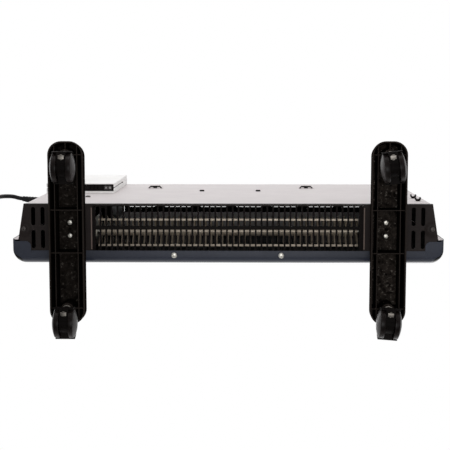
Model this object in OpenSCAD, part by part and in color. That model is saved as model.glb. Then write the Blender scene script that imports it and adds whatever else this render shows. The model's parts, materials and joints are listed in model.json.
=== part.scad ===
// Electric convector heater on two castor feet.
// The front of the heater faces -Y. The body is drawn with z = 0 at its underside and
// y = 0 at its front face, and place() sets it on the floor with the origin under its middle.

/* [Body] */
// Width of the front panel
body_w = 640; // [560:10:800]
// Height of the body without its feet
body_h = 400; // [360:10:500]
// Depth from the front face to the rear panel
body_d = 87.2; // [84:0.1:100]
// Thickness of the sheet steel
sheet = 1; // [0.8:0.1:1.2]
// Gap between pieces that lie side by side
gap = 0.3; // [0.2:0.05:0.5]
// Radial clearance of everything that turns
run_gap = 0.05; // [0.02:0.01:0.08]

/* [Front panel] */
// Radius of the upright edges
panel_side_r = 20; // [12:1:26]
// Radius of the top and bottom edges
panel_edge_r = 10; // [5:1:14]
// Depth of the side walls
panel_side_d = 36; // [30:1:40]
// Depth of the top and bottom flanges
flange_d = 19; // [18:0.5:22]
// Width of the deeper flange at each corner
flange_corner_w = 28; // [16:1:34]
// Radius of the flange's free corners
flange_step_r = 8; // [2:0.5:10]
// Depth of the deeper flange at each corner
flange_corner_d = 33; // [28:0.5:34]
// Distance from the middle to each flange screw
flange_screw_x = 79.3; // [40:0.1:150]
// Distance of the flange screws from the front face
flange_screw_y = 12.3; // [11:0.1:14]

/* [Rear casing] */
// Step from the panel's side to the casing's shoulder
shoulder_inset = 9; // [6:0.5:12]
// Taper of each side from the shoulder to the rear
casing_taper = 8.5; // [4:0.5:14]
// Distance from the middle to each wall hook pocket
hook_x = 131; // [90:1:160]
// Height of the middle of the wall hook pockets
hook_z = 311; // [280:1:330]
// Width of a wall hook pocket at the rear panel
hook_w = 27; // [25:1:34]
// Height of a wall hook pocket
hook_h = 12; // [8:0.5:16]
// How far a wall hook pocket stands out
hook_out = 5.4; // [5.2:0.1:6]
// Distance from a pocket's middle to each of its tabs
hook_tab_x = 5.9; // [5.2:0.1:7]
// Width of each tab at the mouth of a wall hook pocket
hook_tab_w = 5; // [3:0.5:6]
// How far each tab stands out
hook_tab_out = 2.2; // [1:0.1:3]
// Distance from the middle to each wall bracket hole
bracket_hole_x = 47.3; // [30:0.1:80]
// Height of the wall bracket holes
bracket_hole_z = 245; // [220:1:270]
// Bore of the bushes that line the wall bracket holes
bracket_hole_d = 5.5; // [4:0.5:8]
// Wall of the bushes in the rear panel
wall_bush_t = 0.8; // [0.6:0.1:1.2]
// Width of the bushes' heads beyond their necks
wall_bush_lip = 0.5; // [0.3:0.1:2]
// How far the bushes stand out behind the rear panel
wall_bush_out = 2.3; // [1:0.1:4]

/* [Bottom plate] */
// Height of the lip that wraps the rear panel
lip_h = 10; // [6:1:16]
// Width of an end vent
vent_w = 6; // [4:0.5:8]
// Distance from the shoulder to the outer column of vents
vent_inset = 22.8; // [20:0.1:26]
// Distance between the two columns of vents
vent_pitch = 14; // [10:0.5:16]
// Distance from the shoulder to each plate screw
plate_screw_inset = 9; // [8.5:0.5:12]
// Distance of the plate screws from the front face
plate_screw_y = 51.4; // [46:0.1:56]
// Diameter of every screw's head
screw_head_d = 8.4; // [6:0.2:9]
// Diameter of the plate screws' heads
plate_head_d = 7; // [6:0.2:8]
// Height of every screw's head
screw_head_h = 2.4; // [1.6:0.2:3]
// Diameter of every screw's shank
screw_d = 3.8; // [3:0.1:4.2]
// Length of every screw's shank
screw_l = 8; // [6:0.5:12]

/* [Inlet grille] */
// Least distance from the side of the body to the first slot
slot_side = 120; // [110:1:150]
// Distance between the slots
slot_pitch = 8.53; // [7.5:0.01:9]
// Width of a slot
slot_w = 5.9; // [4:0.1:6.2]
// Sideways offset of the slots in their frame
slot_shift = 1; // [0:0.1:2]
// Front edge of the front row
slot_front = 19.3; // [19:0.1:22]
// Rear edge of the front row
slot_mid = 50.5; // [40:0.1:60]
// Width of the bar between the two rows
slot_bar = 4.8; // [4:0.1:8]
// Distance from the slots' rear ends to the rear of the body
slot_behind = 2.3; // [2.3:0.1:8]
// Width of the grille frame along its slots
grille_edge = 1; // [0.8:0.1:1]
// Width of the grille frame at each end
grille_end = 5.1; // [3:0.1:6]
// Thickness of the grille
grille_t = 3; // [2:0.5:4]

/* [Outlet grille] */
// Number of columns of outlet windows
outlet_cols = 7; // [4:1:7]
// Distance from the rear corner to the middle of the first column
outlet_left = 75; // [50:1:90]
// Distance from the middle of the last column to the control unit
outlet_right = 27.5; // [27:0.5:50]
// Length of a window
outlet_l = 52; // [30:1:54]
// Width of a window
outlet_w = 9.6; // [8:0.2:14]
// Front edge of the first row
outlet_front = 46; // [40:0.1:46]
// Distance between the two rows
outlet_row = 20; // [18:0.5:22]
// Depth of the turned down edges of the grille
outlet_edge_h = 12; // [6:1:20]

/* [Heating element] */
// Least distance from the side of the body to the finned part
element_side = 120; // [115:1:160]
// Distance of its middle from the front face
element_y = 41.6; // [38:0.1:46]
// Height of its middle
element_z = 61; // [55:1:75]
// Height of the limit thermostat above the element's middle
limiter_up = 32; // [30:1:36]
// Half span of the X section, from middle to leg tip
element_leg = 21; // [16:0.5:22]
// Thickness of a leg of the X section
element_leg_t = 5; // [3:0.5:7]
// Distance between two fins
fin_pitch = 8.5; // [7:0.1:12]
// Thickness of a fin
fin_t = 2; // [1.2:0.1:3]
// Diameter of the hub
hub_d = 15; // [12:0.5:18]
// Diameter of the sheathed heating rod
rod_d = 8; // [6.5:0.1:9]
// Length of rod beyond each end of the fins
rod_out = 22; // [18:1:30]
// Distance from the finned part to each bracket
bracket_gap = 6; // [4:0.5:10]
// Thickness of the insulating bush round the rod
bush_t = 2.5; // [1.5:0.1:4]
// Diameter of the limit thermostat
limiter_d = 16; // [14:0.5:18]

/* [Control unit] */
// Width of the control unit
ctl_w = 112.5; // [100:0.5:120]
// Height of its underside
ctl_z = 200; // [170:5:230]
// How far it stands out behind the rear panel
ctl_out = 16.6; // [14:0.2:20]
// Distance of its inner wall from the front face
ctl_in = 38; // [30:1:44]
// Depth of the pale frame, up to the seam
ctl_frame_d = 8.5; // [6:0.5:9]
// Depth of the frame at the underside
ctl_frame_low = 3.7; // [2.5:0.1:4.5]
// Width of the open seam between frame and cover
ctl_seam = 1.4; // [0.5:0.1:1.8]
// Height at which the seam closes
ctl_seam_z = 330; // [280:5:360]
// Wall of the housing and its cover
ctl_wall = 1.6; // [1.2:0.1:2.2]
// Thickness of the control panel
ctl_panel_t = 3; // [2:0.5:4]
// Distance from the inner side to the knob's axis
knob_x = 28; // [24:1:34]
// Diameter of the thermostat knob
knob_d = 36; // [28:1:40]
// Height of the thermostat knob
knob_h = 15; // [10:1:20]
// Diameter of the thermostat shaft
shaft_d = 6; // [5:0.5:7]
// Distance from the knob's axis to the heat switch
heat_switch_x = 38; // [32:1:44]
// Distance from the heat switch to the lamp
lamp_x = 23; // [18:1:26]
// Diameter of the lamp lens
lamp_d = 7; // [5:0.5:9]
// Distance from the inner side to the power switch
power_switch_x = 11; // [10:0.5:20]
// Thickness of the walls of a switch
switch_wall = 1; // [0.8:0.1:1.4]
// Angle of a rocker either side of level
rocker_tilt = 8; // [5:1:10]

/* [Feet] */
// Distance from the side of the body to the middle of each foot
foot_side = 86.7; // [80:0.1:95]
// Width of a foot at its rim
foot_w = 51.5; // [44:0.5:56]
// Inward draft of each side up to the top
foot_draft = 2.7; // [0:0.1:3]
// Length of a foot at its rim
foot_l = 263; // [230:1:280]
// How much further each end reaches at the top
foot_prow = 4; // [2:1:12]
// Distance of the middle of the feet from the front face
foot_y = 47.2; // [46:0.2:50]
// Depth of a foot
foot_h = 39; // [34:1:46]
// Radius of a foot's corners
foot_corner_r = 17; // [12:1:20]
// Wall of a foot
foot_wall = 2.5; // [2:0.1:3.5]
// Thickness of the ribs in a foot
foot_rib = 1.8; // [1.2:0.1:2.5]
// Distance from a foot's middle to its long ribs
foot_rib_x = 16.5; // [14:0.5:17.5]
// Length of the middle bay, where the screws are
foot_bay = 62.6; // [50:0.2:70]
// Distance between the two screws of a foot
foot_screw_pitch = 20; // [16:1:26]
// Distance of the middle of the screws from the front face
foot_screw_y = 51.5; // [49:0.5:54]
// Diameter of the boss that takes a castor stem
boss_d = 19; // [16:1:24]

/* [Castors] */
// Half the distance between a foot's two stems
stem_y = 112; // [100:0.5:114]
// How far the stems' middle lies behind the foot's middle
stem_back = 2.2; // [0:0.1:4]
// Turn of the front left castor
turn_fl = 4.5; // [-30:0.5:30]
// Turn of the front right castor
turn_fr = 0; // [-30:0.5:30]
// Turn of the rear left castor
turn_rl = -7; // [-30:0.5:30]
// Turn of the rear right castor
turn_rr = 0; // [-30:0.5:30]
// Diameter of a wheel
wheel_d = 42; // [36:1:44]
// Distance from the stem to the wheel axle
trail = 15.4; // [14:0.1:18]
// Width across both wheels
castor_w = 36.2; // [34:0.2:44]
// Width of a wheel's tread
tread_w = 6.6; // [5:0.1:8]
// Width of the body between the wheels
web_w = 13; // [13:0.1:15]
// Gap between a wheel and the body
wheel_gap = 0.4; // [0.3:0.05:0.8]
// Width of the hood
hood_w = 28; // [24:0.5:32]
// Thickness of the hood
hood_t = 1.4; // [1.2:0.1:2.2]
// Gap between the hood and the treads
hood_gap = 1; // [0.4:0.1:1.4]
// Gap between the hood and the foot
swivel_gap = 0.6; // [0.6:0.1:2]
// Height of the hood's lower edge on the stem side
hood_low = 9; // [7:0.5:14]
// Height of the hood's lower edge on the far side
hood_back = 21; // [21:1:30]
// Diameter of a castor stem
stem_d = 8; // [6:0.5:9]
// Diameter of the collar on a stem
collar_d = 12.6; // [11:0.2:13]
// Height of the collar
collar_h = 4.9; // [3:0.1:5]
// Length of stem in the foot
stem_in = 28; // [20:1:32]
// Width of the stem's flattened lower end
stem_end_w = 8.7; // [8:0.1:10]
// Depth of the stem's flattened lower end
stem_end_d = 5.8; // [4:0.1:7]
// Diameter of an axle
axle_d = 5; // [4:0.5:6]

/* [Cord] */
// Diameter of the mains cord
cord_d = 6.5; // [6:0.1:7]
// Distance of the cord's outlet from the rear of the body
cord_inset = 7.2; // [6.2:0.1:11]
// Height of the cord's outlet
cord_z = 135; // [120:1:150]
// Length of the strain relief outside the casing
gland_l = 26; // [22:1:30]
// Diameter of the strain relief at the casing
gland_d = 13; // [11:0.5:14]
// Full turns in each layer of the coil, less the last half
coil_turns = 2.5; // [1.5:1:4.5]
// Radius of the coil's outer turn
coil_r = 46; // [44:1:50]
// Distance between neighbouring turns and layers
coil_pitch = 7; // [7:0.1:7.6]
// Width of the tie round the coil
tie_w = 9; // [6:1:14]
// Thickness of the tie
tie_t = 0.6; // [0.5:0.1:1]
// Diameter of the plug's face
plug_d = 38; // [36:0.5:40]
// Length of the plug without its pins
plug_l = 44; // [40:1:50]
// Diameter of the plug pins
pin_d = 4.8; // [4:0.1:4.8]
// Length of the plug pins
pin_l = 19; // [17:0.5:19]
// Distance between the plug pins
pin_pitch = 19; // [18:0.1:19]

/* [Hidden] */
$fn = 64;

panel_col = "#3a3e48";
casing_col = "#d8d4d0";
plate_col = "#2b2523";
plastic_col = "#1d1b1b";
steel_col = "#c9c9c6";
element_col = "#b9a98c";
white_col = "#e4e2dc";

// Levels and edges of the body
plate_z = sheet;
plate_top = 2 * sheet;
roof_z = body_h - sheet;
shoulder_y = panel_side_d - sheet;
shoulder_half = body_w / 2 - shoulder_inset;
rear_half = shoulder_half - casing_taper;
panel_in_half = body_w / 2 - sheet;
taper_angle = atan2(casing_taper, body_d - shoulder_y);
slot_count = 2 * floor((body_w / 2 - slot_side) / slot_pitch);
slot_rear = body_d - slot_behind;
slots_half = (slot_count - 1) / 2 * slot_pitch + slot_w / 2;
grille_half = slots_half + grille_end;
grille_flange = 1.6;
window_front = slot_front - grille_edge;
window_rear = slot_rear + grille_edge;
window_half = grille_half + gap;
row_split = slot_mid + slot_bar;
vent_x = shoulder_half - vent_inset;
plate_screw_x = shoulder_half - plate_screw_inset;
foot_x = body_w / 2 - foot_side;
bead_x = window_half + 1.5;
bead_r = 1.2;

// Levels of the castors, measured from the floor
wheel_r = wheel_d / 2;
hood_r = wheel_r + hood_gap + hood_t;
rim_h = wheel_r + hood_r + swivel_gap;
ride_h = rim_h + foot_h;
sleeve_top = rim_h - collar_h - gap;
web_low = wheel_r * 0.4;
wheel_in = web_w / 2 + wheel_gap;
dome_h = castor_w / 2 - wheel_in - tread_w;
dome_r = (wheel_r * wheel_r + dome_h * dome_h) / (2 * dome_h);
rim_z = -foot_h;

// Middle of the whole heater front to back, under which the origin lies
hood_reach = trail + sqrt(hood_r * hood_r - pow(hood_back - wheel_r, 2));
reach_front = foot_y + stem_back - stem_y - max([
    for (a = [turn_fl, turn_fr]) hood_reach * cos(a) + hood_w / 2 * abs(sin(a))
]);
reach_rear = foot_y + foot_l / 2 + foot_prow;
y_mid = round(5 * (min(reach_front, foot_y - foot_l / 2 - foot_prow) + reach_rear)) / 10;

// Element
hub_r = hub_d / 2;
element_l = body_w - 2 * element_side;
fin_count = floor((element_l - fin_t) / fin_pitch) + 1;
fins_half = (fin_count - 1) * fin_pitch / 2 + fin_t / 2;
bracket_x = fins_half + bracket_gap;
bracket_t = 1.2 * sheet;
bush_r = rod_d / 2 + bush_t;
bush_flange = 2;
bracket_w = 44;
bracket_above = 16;
wall_bush_neck = bracket_hole_d + 2 * wall_bush_t;
bracket_top = element_z + 44;
limiter_z = element_z + limiter_up;
limiter_l = 9;

// Control unit
ctl_x1 = rear_half;
ctl_x0 = ctl_x1 - ctl_w;
ctl_margin = 5;
ctl_open_x0 = ctl_x0 + ctl_margin;
ctl_open_x1 = ctl_x1 - ctl_margin - sheet;
ctl_open_z = ctl_z + ctl_margin;
ctl_y1 = body_d + ctl_out;
ctl_step_y = body_d + ctl_frame_low + gap;
ctl_step_z = ctl_z + 0.4;
ctl_skin_x0 = ctl_x0 + ctl_wall + gap;
ctl_skin_x1 = ctl_x1 - ctl_wall - gap;
ctl_back_y = ctl_y1 - ctl_wall - gap;
ctl_roof = body_h - ctl_panel_t;
ctl_mid_y = (ctl_in + body_d) / 2;
knob_px = ctl_x0 + knob_x;
heat_px = knob_px + heat_switch_x;
lamp_px = heat_px + lamp_x;
power_px = ctl_x0 + power_switch_x;
power_py = (ctl_step_y + ctl_back_y) / 2;
knob_lift = 1;
thermo_w = 34;
thermo_h = 22;
bushing_d = shaft_d + 4;
heat_w = 15;
heat_l = 26;
heat_h = 20;
power_w = 16;
power_l = ctl_back_y - ctl_step_y - 2;
power_h = 14;
rocker_pin_r = 1.2;
rocker_gap = 0.7;
switch_lip = 1.2;
unit_tab_w = 12;
unit_screw_x = ctl_x0 + 34.5;
unit_screw_z = ctl_z - 68;
wire_way = 40;
wire_way_d = ctl_step_y - ctl_in - 13.2;
outlet_pitch = (ctl_x0 - outlet_right + rear_half - outlet_left) / (outlet_cols - 1);

// Side slots of the plug
clip_slot = 5;
clip_deep = 12;

// Feet
foot_floor = -foot_wall;
foot_pad_front = 20;
foot_pad_rear = 86;
rib_behind = 1.5;
rib_low = rim_z + 3;
boss_r = boss_d / 2;
stem_front = foot_y + stem_back - stem_y;
stem_rear = foot_y + stem_back + stem_y;

// Castors in the order front left, front right, rear left, rear right; left is -X
castor_place = [
    [-foot_x, stem_front, turn_fl],
    [foot_x, stem_front, turn_fr],
    [-foot_x, stem_rear, turn_rl],
    [foot_x, stem_rear, turn_rr]
];

// Cord
cord_r = cord_d / 2;
cord_y = body_d - cord_inset;
wall_x = shoulder_half - casing_taper * (cord_y - shoulder_y) / (body_d - shoulder_y);
out_dir = [cos(taper_angle), sin(taper_angle), 0];
gland_base = [wall_x, cord_y, cord_z + ride_h];
gland_end = gland_base + out_dir * gland_l;
cord_floor = cord_r + tie_t + 0.2;
cord_shift = [wall_x - 303.7, cord_y - 80, 0];
coil_at = [394, 60, cord_floor] + cord_shift;
coil_all = 2 * coil_turns + 0.5;
lead_points = [
    gland_end,
    gland_end + out_dir * cord_d,
    cord_shift + [345, 87.8, 216],
    cord_shift + [354, 89.2, 204],
    cord_shift + [360, 90, 186],
    cord_shift + [362, 92, 160],
    cord_shift + [362, 95.5, 125],
    cord_shift + [361, 99.5, 90],
    cord_shift + [360, 103, 58],
    cord_shift + [360, 105, 34],
    cord_shift + [363.5, 106, 18],
    cord_shift + [372, 106, 7.6],
    cord_shift + [381, 106, cord_floor],
    [coil_at[0] - cord_d, coil_at[1] + coil_r, cord_floor]
];

function unit(v) = v / norm(v);
function between(a, b, t) = a + (b - a) * t;
function ease(t) = let (c = min(max(t, 0), 1)) c * c * (3 - 2 * c);

// Point on a smooth curve through b and c, with a and d beside them
function curve_point(a, b, c, d, t) =
    (2 * b + (c - a) * t + (2 * a - 5 * b + 4 * c - d) * t * t + (3 * b - a - 3 * c + d) * t * t * t) / 2;

// Curve through all the points, with n steps from each to the next
function curve(p, n) = [
    for (i = [0:len(p) - 2])
        for (k = [0:n - 1])
            curve_point(p[max(i - 1, 0)], p[i], p[i + 1], p[min(i + 2, len(p) - 1)], k / n),
    p[len(p) - 1]
];

// Direction of a path at point i
function along(p, i) =
    i == 0 ? unit(p[1] - p[0]) :
    i == len(p) - 1 ? unit(p[i] - p[i - 1]) :
    unit(unit(p[i] - p[i - 1]) + unit(p[i + 1] - p[i]));

// Corners of one ring round point i, turned from the reference direction ref
function ring(p, i, r, sides, ref) =
    let (t = along(p, i), u = unit(cross(ref, t)), v = cross(t, u))
    [for (k = [0:sides - 1]) p[i] + r * (cos(360 * k / sides) * u + sin(360 * k / sides) * v)];

function path_length(p, i = 0) = i >= len(p) - 1 ? 0 : norm(p[i + 1] - p[i]) + path_length(p, i + 1);

// Coil: it spirals in, climbs one layer in the half turn at its middle, and spirals out again
function coil_point(u) =
    let (
        r = coil_r - coil_pitch * min(u, coil_all - u),
        a = 90 - 360 * u,
        lift = coil_pitch * ease((u - coil_all / 2 + 0.25) / 0.5)
    )
    coil_at + [r * cos(a), r * sin(a), lift];
coil_steps = round(24 * coil_all);
coil_turn_points = [for (k = [0:coil_steps]) coil_point(coil_all * k / coil_steps)];
coil_last = coil_turn_points[coil_steps];
coil_exit_dir = [sin(90 - 360 * coil_all), -cos(90 - 360 * coil_all), 0];
coil_points = concat(
    [coil_turn_points[0] - [cord_d, 0, 0]],
    coil_turn_points,
    [coil_last + coil_exit_dir * cord_d]
);
tail_start = coil_last + coil_exit_dir * cord_d;

// Least gap between turns of the coil, measured between points over a third of a turn apart
coil_gap = min([
    for (i = [0:len(coil_points) - 1])
        for (j = [i + 9:1:len(coil_points) - 1])
            norm(coil_points[i] - coil_points[j])
]) - cord_d;
echo(coil_gap = coil_gap);
echo(coil_length = path_length(coil_points));

// The plug lies on its swelling and on its narrow end, and the tail rises to meet its sleeve
plug_tail_r = 9;
plug_sleeve = 10;
plug_swell_r = plug_d / 2 - 1;
plug_swell_at = plug_l * 0.68;
plug_tilt = atan((plug_swell_r - plug_tail_r) / plug_swell_at);
plug_dir = [0, -cos(plug_tilt), sin(plug_tilt)];
plug_at = cord_shift + [355, -38, plug_tail_r * cos(plug_tilt) + 0.05];
tail_end = plug_at - plug_dir * plug_sleeve;
tail_points = [
    tail_start,
    tail_start + coil_exit_dir * cord_d,
    cord_shift + [368, 10.5, 9],
    cord_shift + [358.5, 1, 6.5],
    cord_shift + [355, -12, 4.8],
    tail_end - plug_dir * cord_d,
    tail_end
];

module place() {
    translate([0, -y_mid, ride_h]) children();
}

// Outline with two rounded corners at y = 0
module round_front(w, d, r) {
    translate([-w / 2, r]) square([w, d - r]);
    translate([-w / 2 + r, 0]) square([w - 2 * r, d]);
    for (s = [-1, 1]) translate([s * (w / 2 - r), r]) circle(r);
}

// Slot with round ends, of length l and width w, along x
module obround(l, w) {
    square([l - w, w], center = true);
    for (s = [-1, 1]) translate([s * (l - w) / 2, 0]) circle(w / 2);
}

// Tube swept along a path
module tube(p, r, sides, ref) {
    n = len(p);
    corners = [for (i = [0:n - 1]) each ring(p, i, r, sides, ref)];
    walls = [
        for (i = [0:n - 2])
            for (k = [0:sides - 1])
                let (a = i * sides + k, b = i * sides + (k + 1) % sides)
                each [[a, a + sides, b + sides], [a, b + sides, b]]
    ];
    last = (n - 1) * sides;
    ends = [
        for (k = [1:sides - 2])
            each [[0, k, k + 1], [last, last + k + 1, last + k]]
    ];
    polyhedron(points = corners, faces = concat(walls, ends));
}

// Pan head screw with a head of diameter d, with its head below z = 0 and its shank above
module pan_screw(d = screw_head_d) {
    cut_r = d / 2;
    difference() {
        union() {
            translate([0, 0, -screw_head_h * 0.5]) cylinder(h = screw_head_h * 0.5, r = cut_r);
            translate([0, 0, -screw_head_h]) cylinder(h = screw_head_h * 0.5, r1 = cut_r * 0.72, r2 = cut_r);
            cylinder(h = screw_l, d = screw_d);
        }
        for (a = [0, 90])
            rotate(a) translate([-cut_r * 0.55, -0.5, -screw_head_h - 1]) cube([cut_r * 1.1, 1, 2.2]);
    }
}

// Solid block with the front panel's outline, drawn in by inset on every side
module panel_block(inset) {
    past = inset > 0 ? 1 : 0;
    d = panel_side_d - inset + past;
    intersection() {
        translate([0, inset, inset])
            linear_extrude(body_h - 2 * inset)
                round_front(body_w - 2 * inset, d, panel_side_r - inset);
        translate([-body_w / 2, inset, inset])
            rotate([90, 0, 90])
                linear_extrude(body_w)
                    translate([0, body_h / 2 - inset])
                        rotate(-90)
                            round_front(body_h - 2 * inset, d, panel_edge_r - inset);
    }
}

// Deeper part of a flange at the corner on the +x side
module flange_corner() {
    x0 = body_w / 2 - flange_corner_w;
    translate([x0 + flange_step_r, 0]) square([flange_corner_w, flange_corner_d]);
    translate([x0, 0]) square([flange_corner_w, flange_corner_d - flange_step_r]);
    translate([x0 + flange_step_r, flange_corner_d - flange_step_r]) circle(flange_step_r);
}

module front_panel() {
    color(panel_col)
    difference() {
        panel_block(0);
        panel_block(sheet);
        translate([0, 0, -1])
            linear_extrude(body_h + 2)
                difference() {
                    translate([-panel_in_half, flange_d]) square([2 * panel_in_half, panel_side_d]);
                    for (s = [-1, 1]) scale([s, 1]) flange_corner();
                }
        for (s = [-1, 1])
            translate([s * flange_screw_x, flange_screw_y, -1])
                cylinder(h = sheet + 2, d = screw_d + 2 * gap);
    }
}

// Plan of the casing's outside, drawn in by inset
module casing_plan(inset) {
    polygon([
        [-shoulder_half + inset, shoulder_y - (inset > 0 ? 1 : 0)],
        [shoulder_half - inset, shoulder_y - (inset > 0 ? 1 : 0)],
        [rear_half - inset, body_d - inset],
        [-rear_half + inset, body_d - inset]
    ]);
}

// Plan of a wall hook pocket outside the rear panel, drawn in by inset
module hook_plan(inset) {
    half = hook_w / 2 - inset;
    out = hook_out - inset;
    polygon([
        [-half, -sheet / 2], [half, -sheet / 2], [half, 0],
        [half - out, out], [-half + out, out], [-half, 0]
    ]);
}

// Wall hook pocket: pressed out of the rear panel, open below and closed above
module hook_pocket() {
    difference() {
        translate([0, 0, -hook_h / 2]) linear_extrude(hook_h) hook_plan(0);
        translate([0, 0, -hook_h / 2 - 1]) linear_extrude(hook_h + 1 - sheet) hook_plan(sheet);
    }
}

// Two tabs bent out at the mouth of a wall hook pocket
module hook_tabs() {
    for (s = [-1, 1])
        translate([s * hook_tab_x - hook_tab_w / 2, -sheet, -hook_h / 2 - sheet / 2])
            cube([hook_tab_w, sheet + hook_tab_out, sheet]);
}

module rear_casing() {
    flange_half = panel_in_half - gap;
    color(casing_col) {
        for (s = [-1, 1]) translate([s * hook_x, body_d, hook_z]) hook_tabs();
        difference() {
            union() {
                translate([0, 0, plate_top])
                    linear_extrude(roof_z - plate_top) {
                        difference() {
                            casing_plan(0);
                            casing_plan(sheet);
                        }
                        for (s = [-1, 1])
                            translate([s > 0 ? shoulder_half - sheet : -flange_half, shoulder_y])
                                square([flange_half - shoulder_half + sheet, sheet]);
                    }
                for (s = [-1, 1])
                    translate([s * (plate_screw_x - 2) - 7, plate_screw_y - 7, plate_top])
                        intersection() {
                            cube([14, 14, 1.5 * sheet]);
                            translate([-s * (plate_screw_x - 2) + 7, -plate_screw_y + 7, -1])
                                linear_extrude(6)
                                    casing_plan(sheet / 2);
                        }
                for (s = [-1, 1]) translate([s * hook_x, body_d, hook_z]) hook_pocket();
            }
            for (s = [-1, 1]) {
                translate([s * plate_screw_x, plate_screw_y, 0]) cylinder(h = 10, d = screw_d + 2 * run_gap);
                translate([s * hook_x - hook_w / 2 + 2 * sheet, body_d - 2 * sheet, hook_z - hook_h / 2])
                    cube([hook_w - 4 * sheet, 2 * sheet + 0.01, hook_h - 2 * sheet]);
                translate([s * bracket_hole_x, body_d + 1, bracket_hole_z])
                    rotate([90, 0, 0]) cylinder(h = sheet + 2, d = wall_bush_neck + 2 * run_gap);
            }
            translate([ctl_open_x0, body_d - sheet - 1, ctl_open_z])
                cube([ctl_open_x1 - ctl_open_x0, sheet + 2, body_h]);
            translate([unit_screw_x, body_d + 1, unit_screw_z])
                rotate([90, 0, 0]) cylinder(h = sheet + 2, d = screw_d + 2 * gap);
            translate([wall_x, cord_y, cord_z])
                rotate([0, 0, taper_angle]) rotate([0, 90, 0])
                    cylinder(h = 12, d = gland_d - 3 + 2 * run_gap, center = true);
            for (k = [0, 1])
                translate([-clip_x, body_d + 1, clip_z[k]])
                    rotate([90, 0, 0]) cylinder(h = sheet + 2, d = clip_peg_d + 2 * run_gap);
        }
    }
}

// Black bushes in the wall bracket holes: a neck through the rear panel and a head behind it
module wall_bushes() {
    color(plastic_col)
    for (s = [-1, 1])
        translate([s * bracket_hole_x, body_d, bracket_hole_z])
            rotate([-90, 0, 0])
                difference() {
                    union() {
                        cylinder(h = wall_bush_out, d = wall_bush_neck + 2 * wall_bush_lip);
                        translate([0, 0, -2 * sheet]) cylinder(h = 3 * sheet, d = wall_bush_neck);
                    }
                    translate([0, 0, -3 * sheet]) cylinder(h = wall_bush_out + 6 * sheet, d = bracket_hole_d);
                }
}

module bottom_plate() {
    color(plate_col)
    difference() {
        union() {
            translate([0, 0, plate_z])
                linear_extrude(sheet) {
                    casing_plan(0);
                    translate([-rear_half, body_d - 1])
                        square([2 * rear_half, 1 + gap + sheet]);
                    translate([-panel_in_half + panel_side_r, panel_edge_r])
                        square([2 * (panel_in_half - panel_side_r), shoulder_y - panel_edge_r + 1]);
                    translate([-shoulder_half + 2, panel_side_r + 2])
                        square([2 * shoulder_half - 4, shoulder_y - panel_side_r - 1]);
                }
            translate([-rear_half, body_d + gap, plate_z])
                cube([2 * rear_half, sheet, lip_h]);
            for (s = [-1, 1])
                translate([s * bead_x, (slot_front + slot_rear) / 2, plate_z])
                    rotate([90, 0, 0])
                        cylinder(h = slot_rear - slot_front - 4, r = bead_r, center = true);
        }
        translate([0, 0, plate_top])
            linear_extrude(2)
                casing_plan(sheet / 2);
        translate([-window_half, window_front - gap, plate_z - 3])
            cube([2 * window_half, window_rear - window_front + 2 * gap, 6]);
        for (s = [-1, 1]) {
            for (c = [0, 1])
                for (r = [0, 1])
                    translate([
                        s * (vent_x - c * vent_pitch),
                        r == 0 ? (slot_front + slot_mid) / 2 + 1 : (row_split + slot_rear) / 2,
                        plate_z - 1
                    ])
                        rotate(90)
                            linear_extrude(sheet + 2)
                                obround((slot_rear - slot_front - slot_bar) / 2 - 3, vent_w);
            for (k = [-1, 1])
                translate([s * foot_x, foot_screw_y + k * foot_screw_pitch / 2, 0])
                    cylinder(h = 5, d = screw_d + 2 * run_gap);
            translate([s * flange_screw_x, flange_screw_y, 0])
                cylinder(h = 5, d = screw_d + 2 * run_gap);
            translate([s * plate_screw_x, plate_screw_y, 0])
                cylinder(h = 5, d = screw_d + 2 * gap);
        }
    }
}

module inlet_plan(half) {
    difference() {
        translate([-half, window_front]) square([2 * half, window_rear - window_front]);
        for (k = [0:slot_count - 1])
            translate([(k - (slot_count - 1) / 2) * slot_pitch - slot_w / 2 + slot_shift, 0]) {
                translate([0, slot_front]) square([slot_w, slot_mid - slot_front]);
                translate([0, row_split]) square([slot_w, slot_rear - row_split]);
            }
    }
}

module inlet_grille() {
    color("#151312") {
        translate([0, 0, plate_z]) linear_extrude(grille_t) inlet_plan(grille_half);
        translate([0, 0, plate_top]) linear_extrude(sheet) inlet_plan(grille_half + grille_flange);
    }
}

// Middle of outlet window i of row j
function outlet_at(i, j) = [
    -rear_half + outlet_left + i * outlet_pitch,
    outlet_front + outlet_w / 2 + j * outlet_row
];

module outlet_grille() {
    inner = sheet + gap;
    color(casing_col)
    difference() {
        translate([0, 0, roof_z - sheet]) {
            linear_extrude(sheet) {
                intersection() {
                    casing_plan(inner);
                    translate([-body_w, shoulder_y + sheet + gap]) square([2 * body_w, body_d]);
                }
                translate([-panel_in_half + panel_side_r, panel_edge_r])
                    square([2 * (panel_in_half - panel_side_r), shoulder_y + sheet + 2 * gap - panel_edge_r]);
            }
            translate([-rear_half + 2 * inner, body_d - inner - 1.5 * sheet, sheet - outlet_edge_h])
                cube([ctl_x0 + rear_half - 3 * inner, sheet, outlet_edge_h]);
        }
        for (i = [0:outlet_cols - 1])
            for (j = [0, 1])
                translate([outlet_at(i, j)[0], outlet_at(i, j)[1], roof_z - sheet - 1])
                    linear_extrude(sheet + 2)
                        obround(outlet_l, outlet_w);
        translate([ctl_open_x0 - gap, ctl_in - gap, roof_z - 40])
            cube([ctl_open_x1 - ctl_open_x0 + 2 * gap, body_d, 80]);
    }
}

// One fin of the element: two crossed legs round the hub
module fin_plan() {
    for (a = [45, 135])
        rotate(a)
            square([2 * element_leg * sqrt(2) - element_leg_t, element_leg_t], center = true);
}

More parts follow.
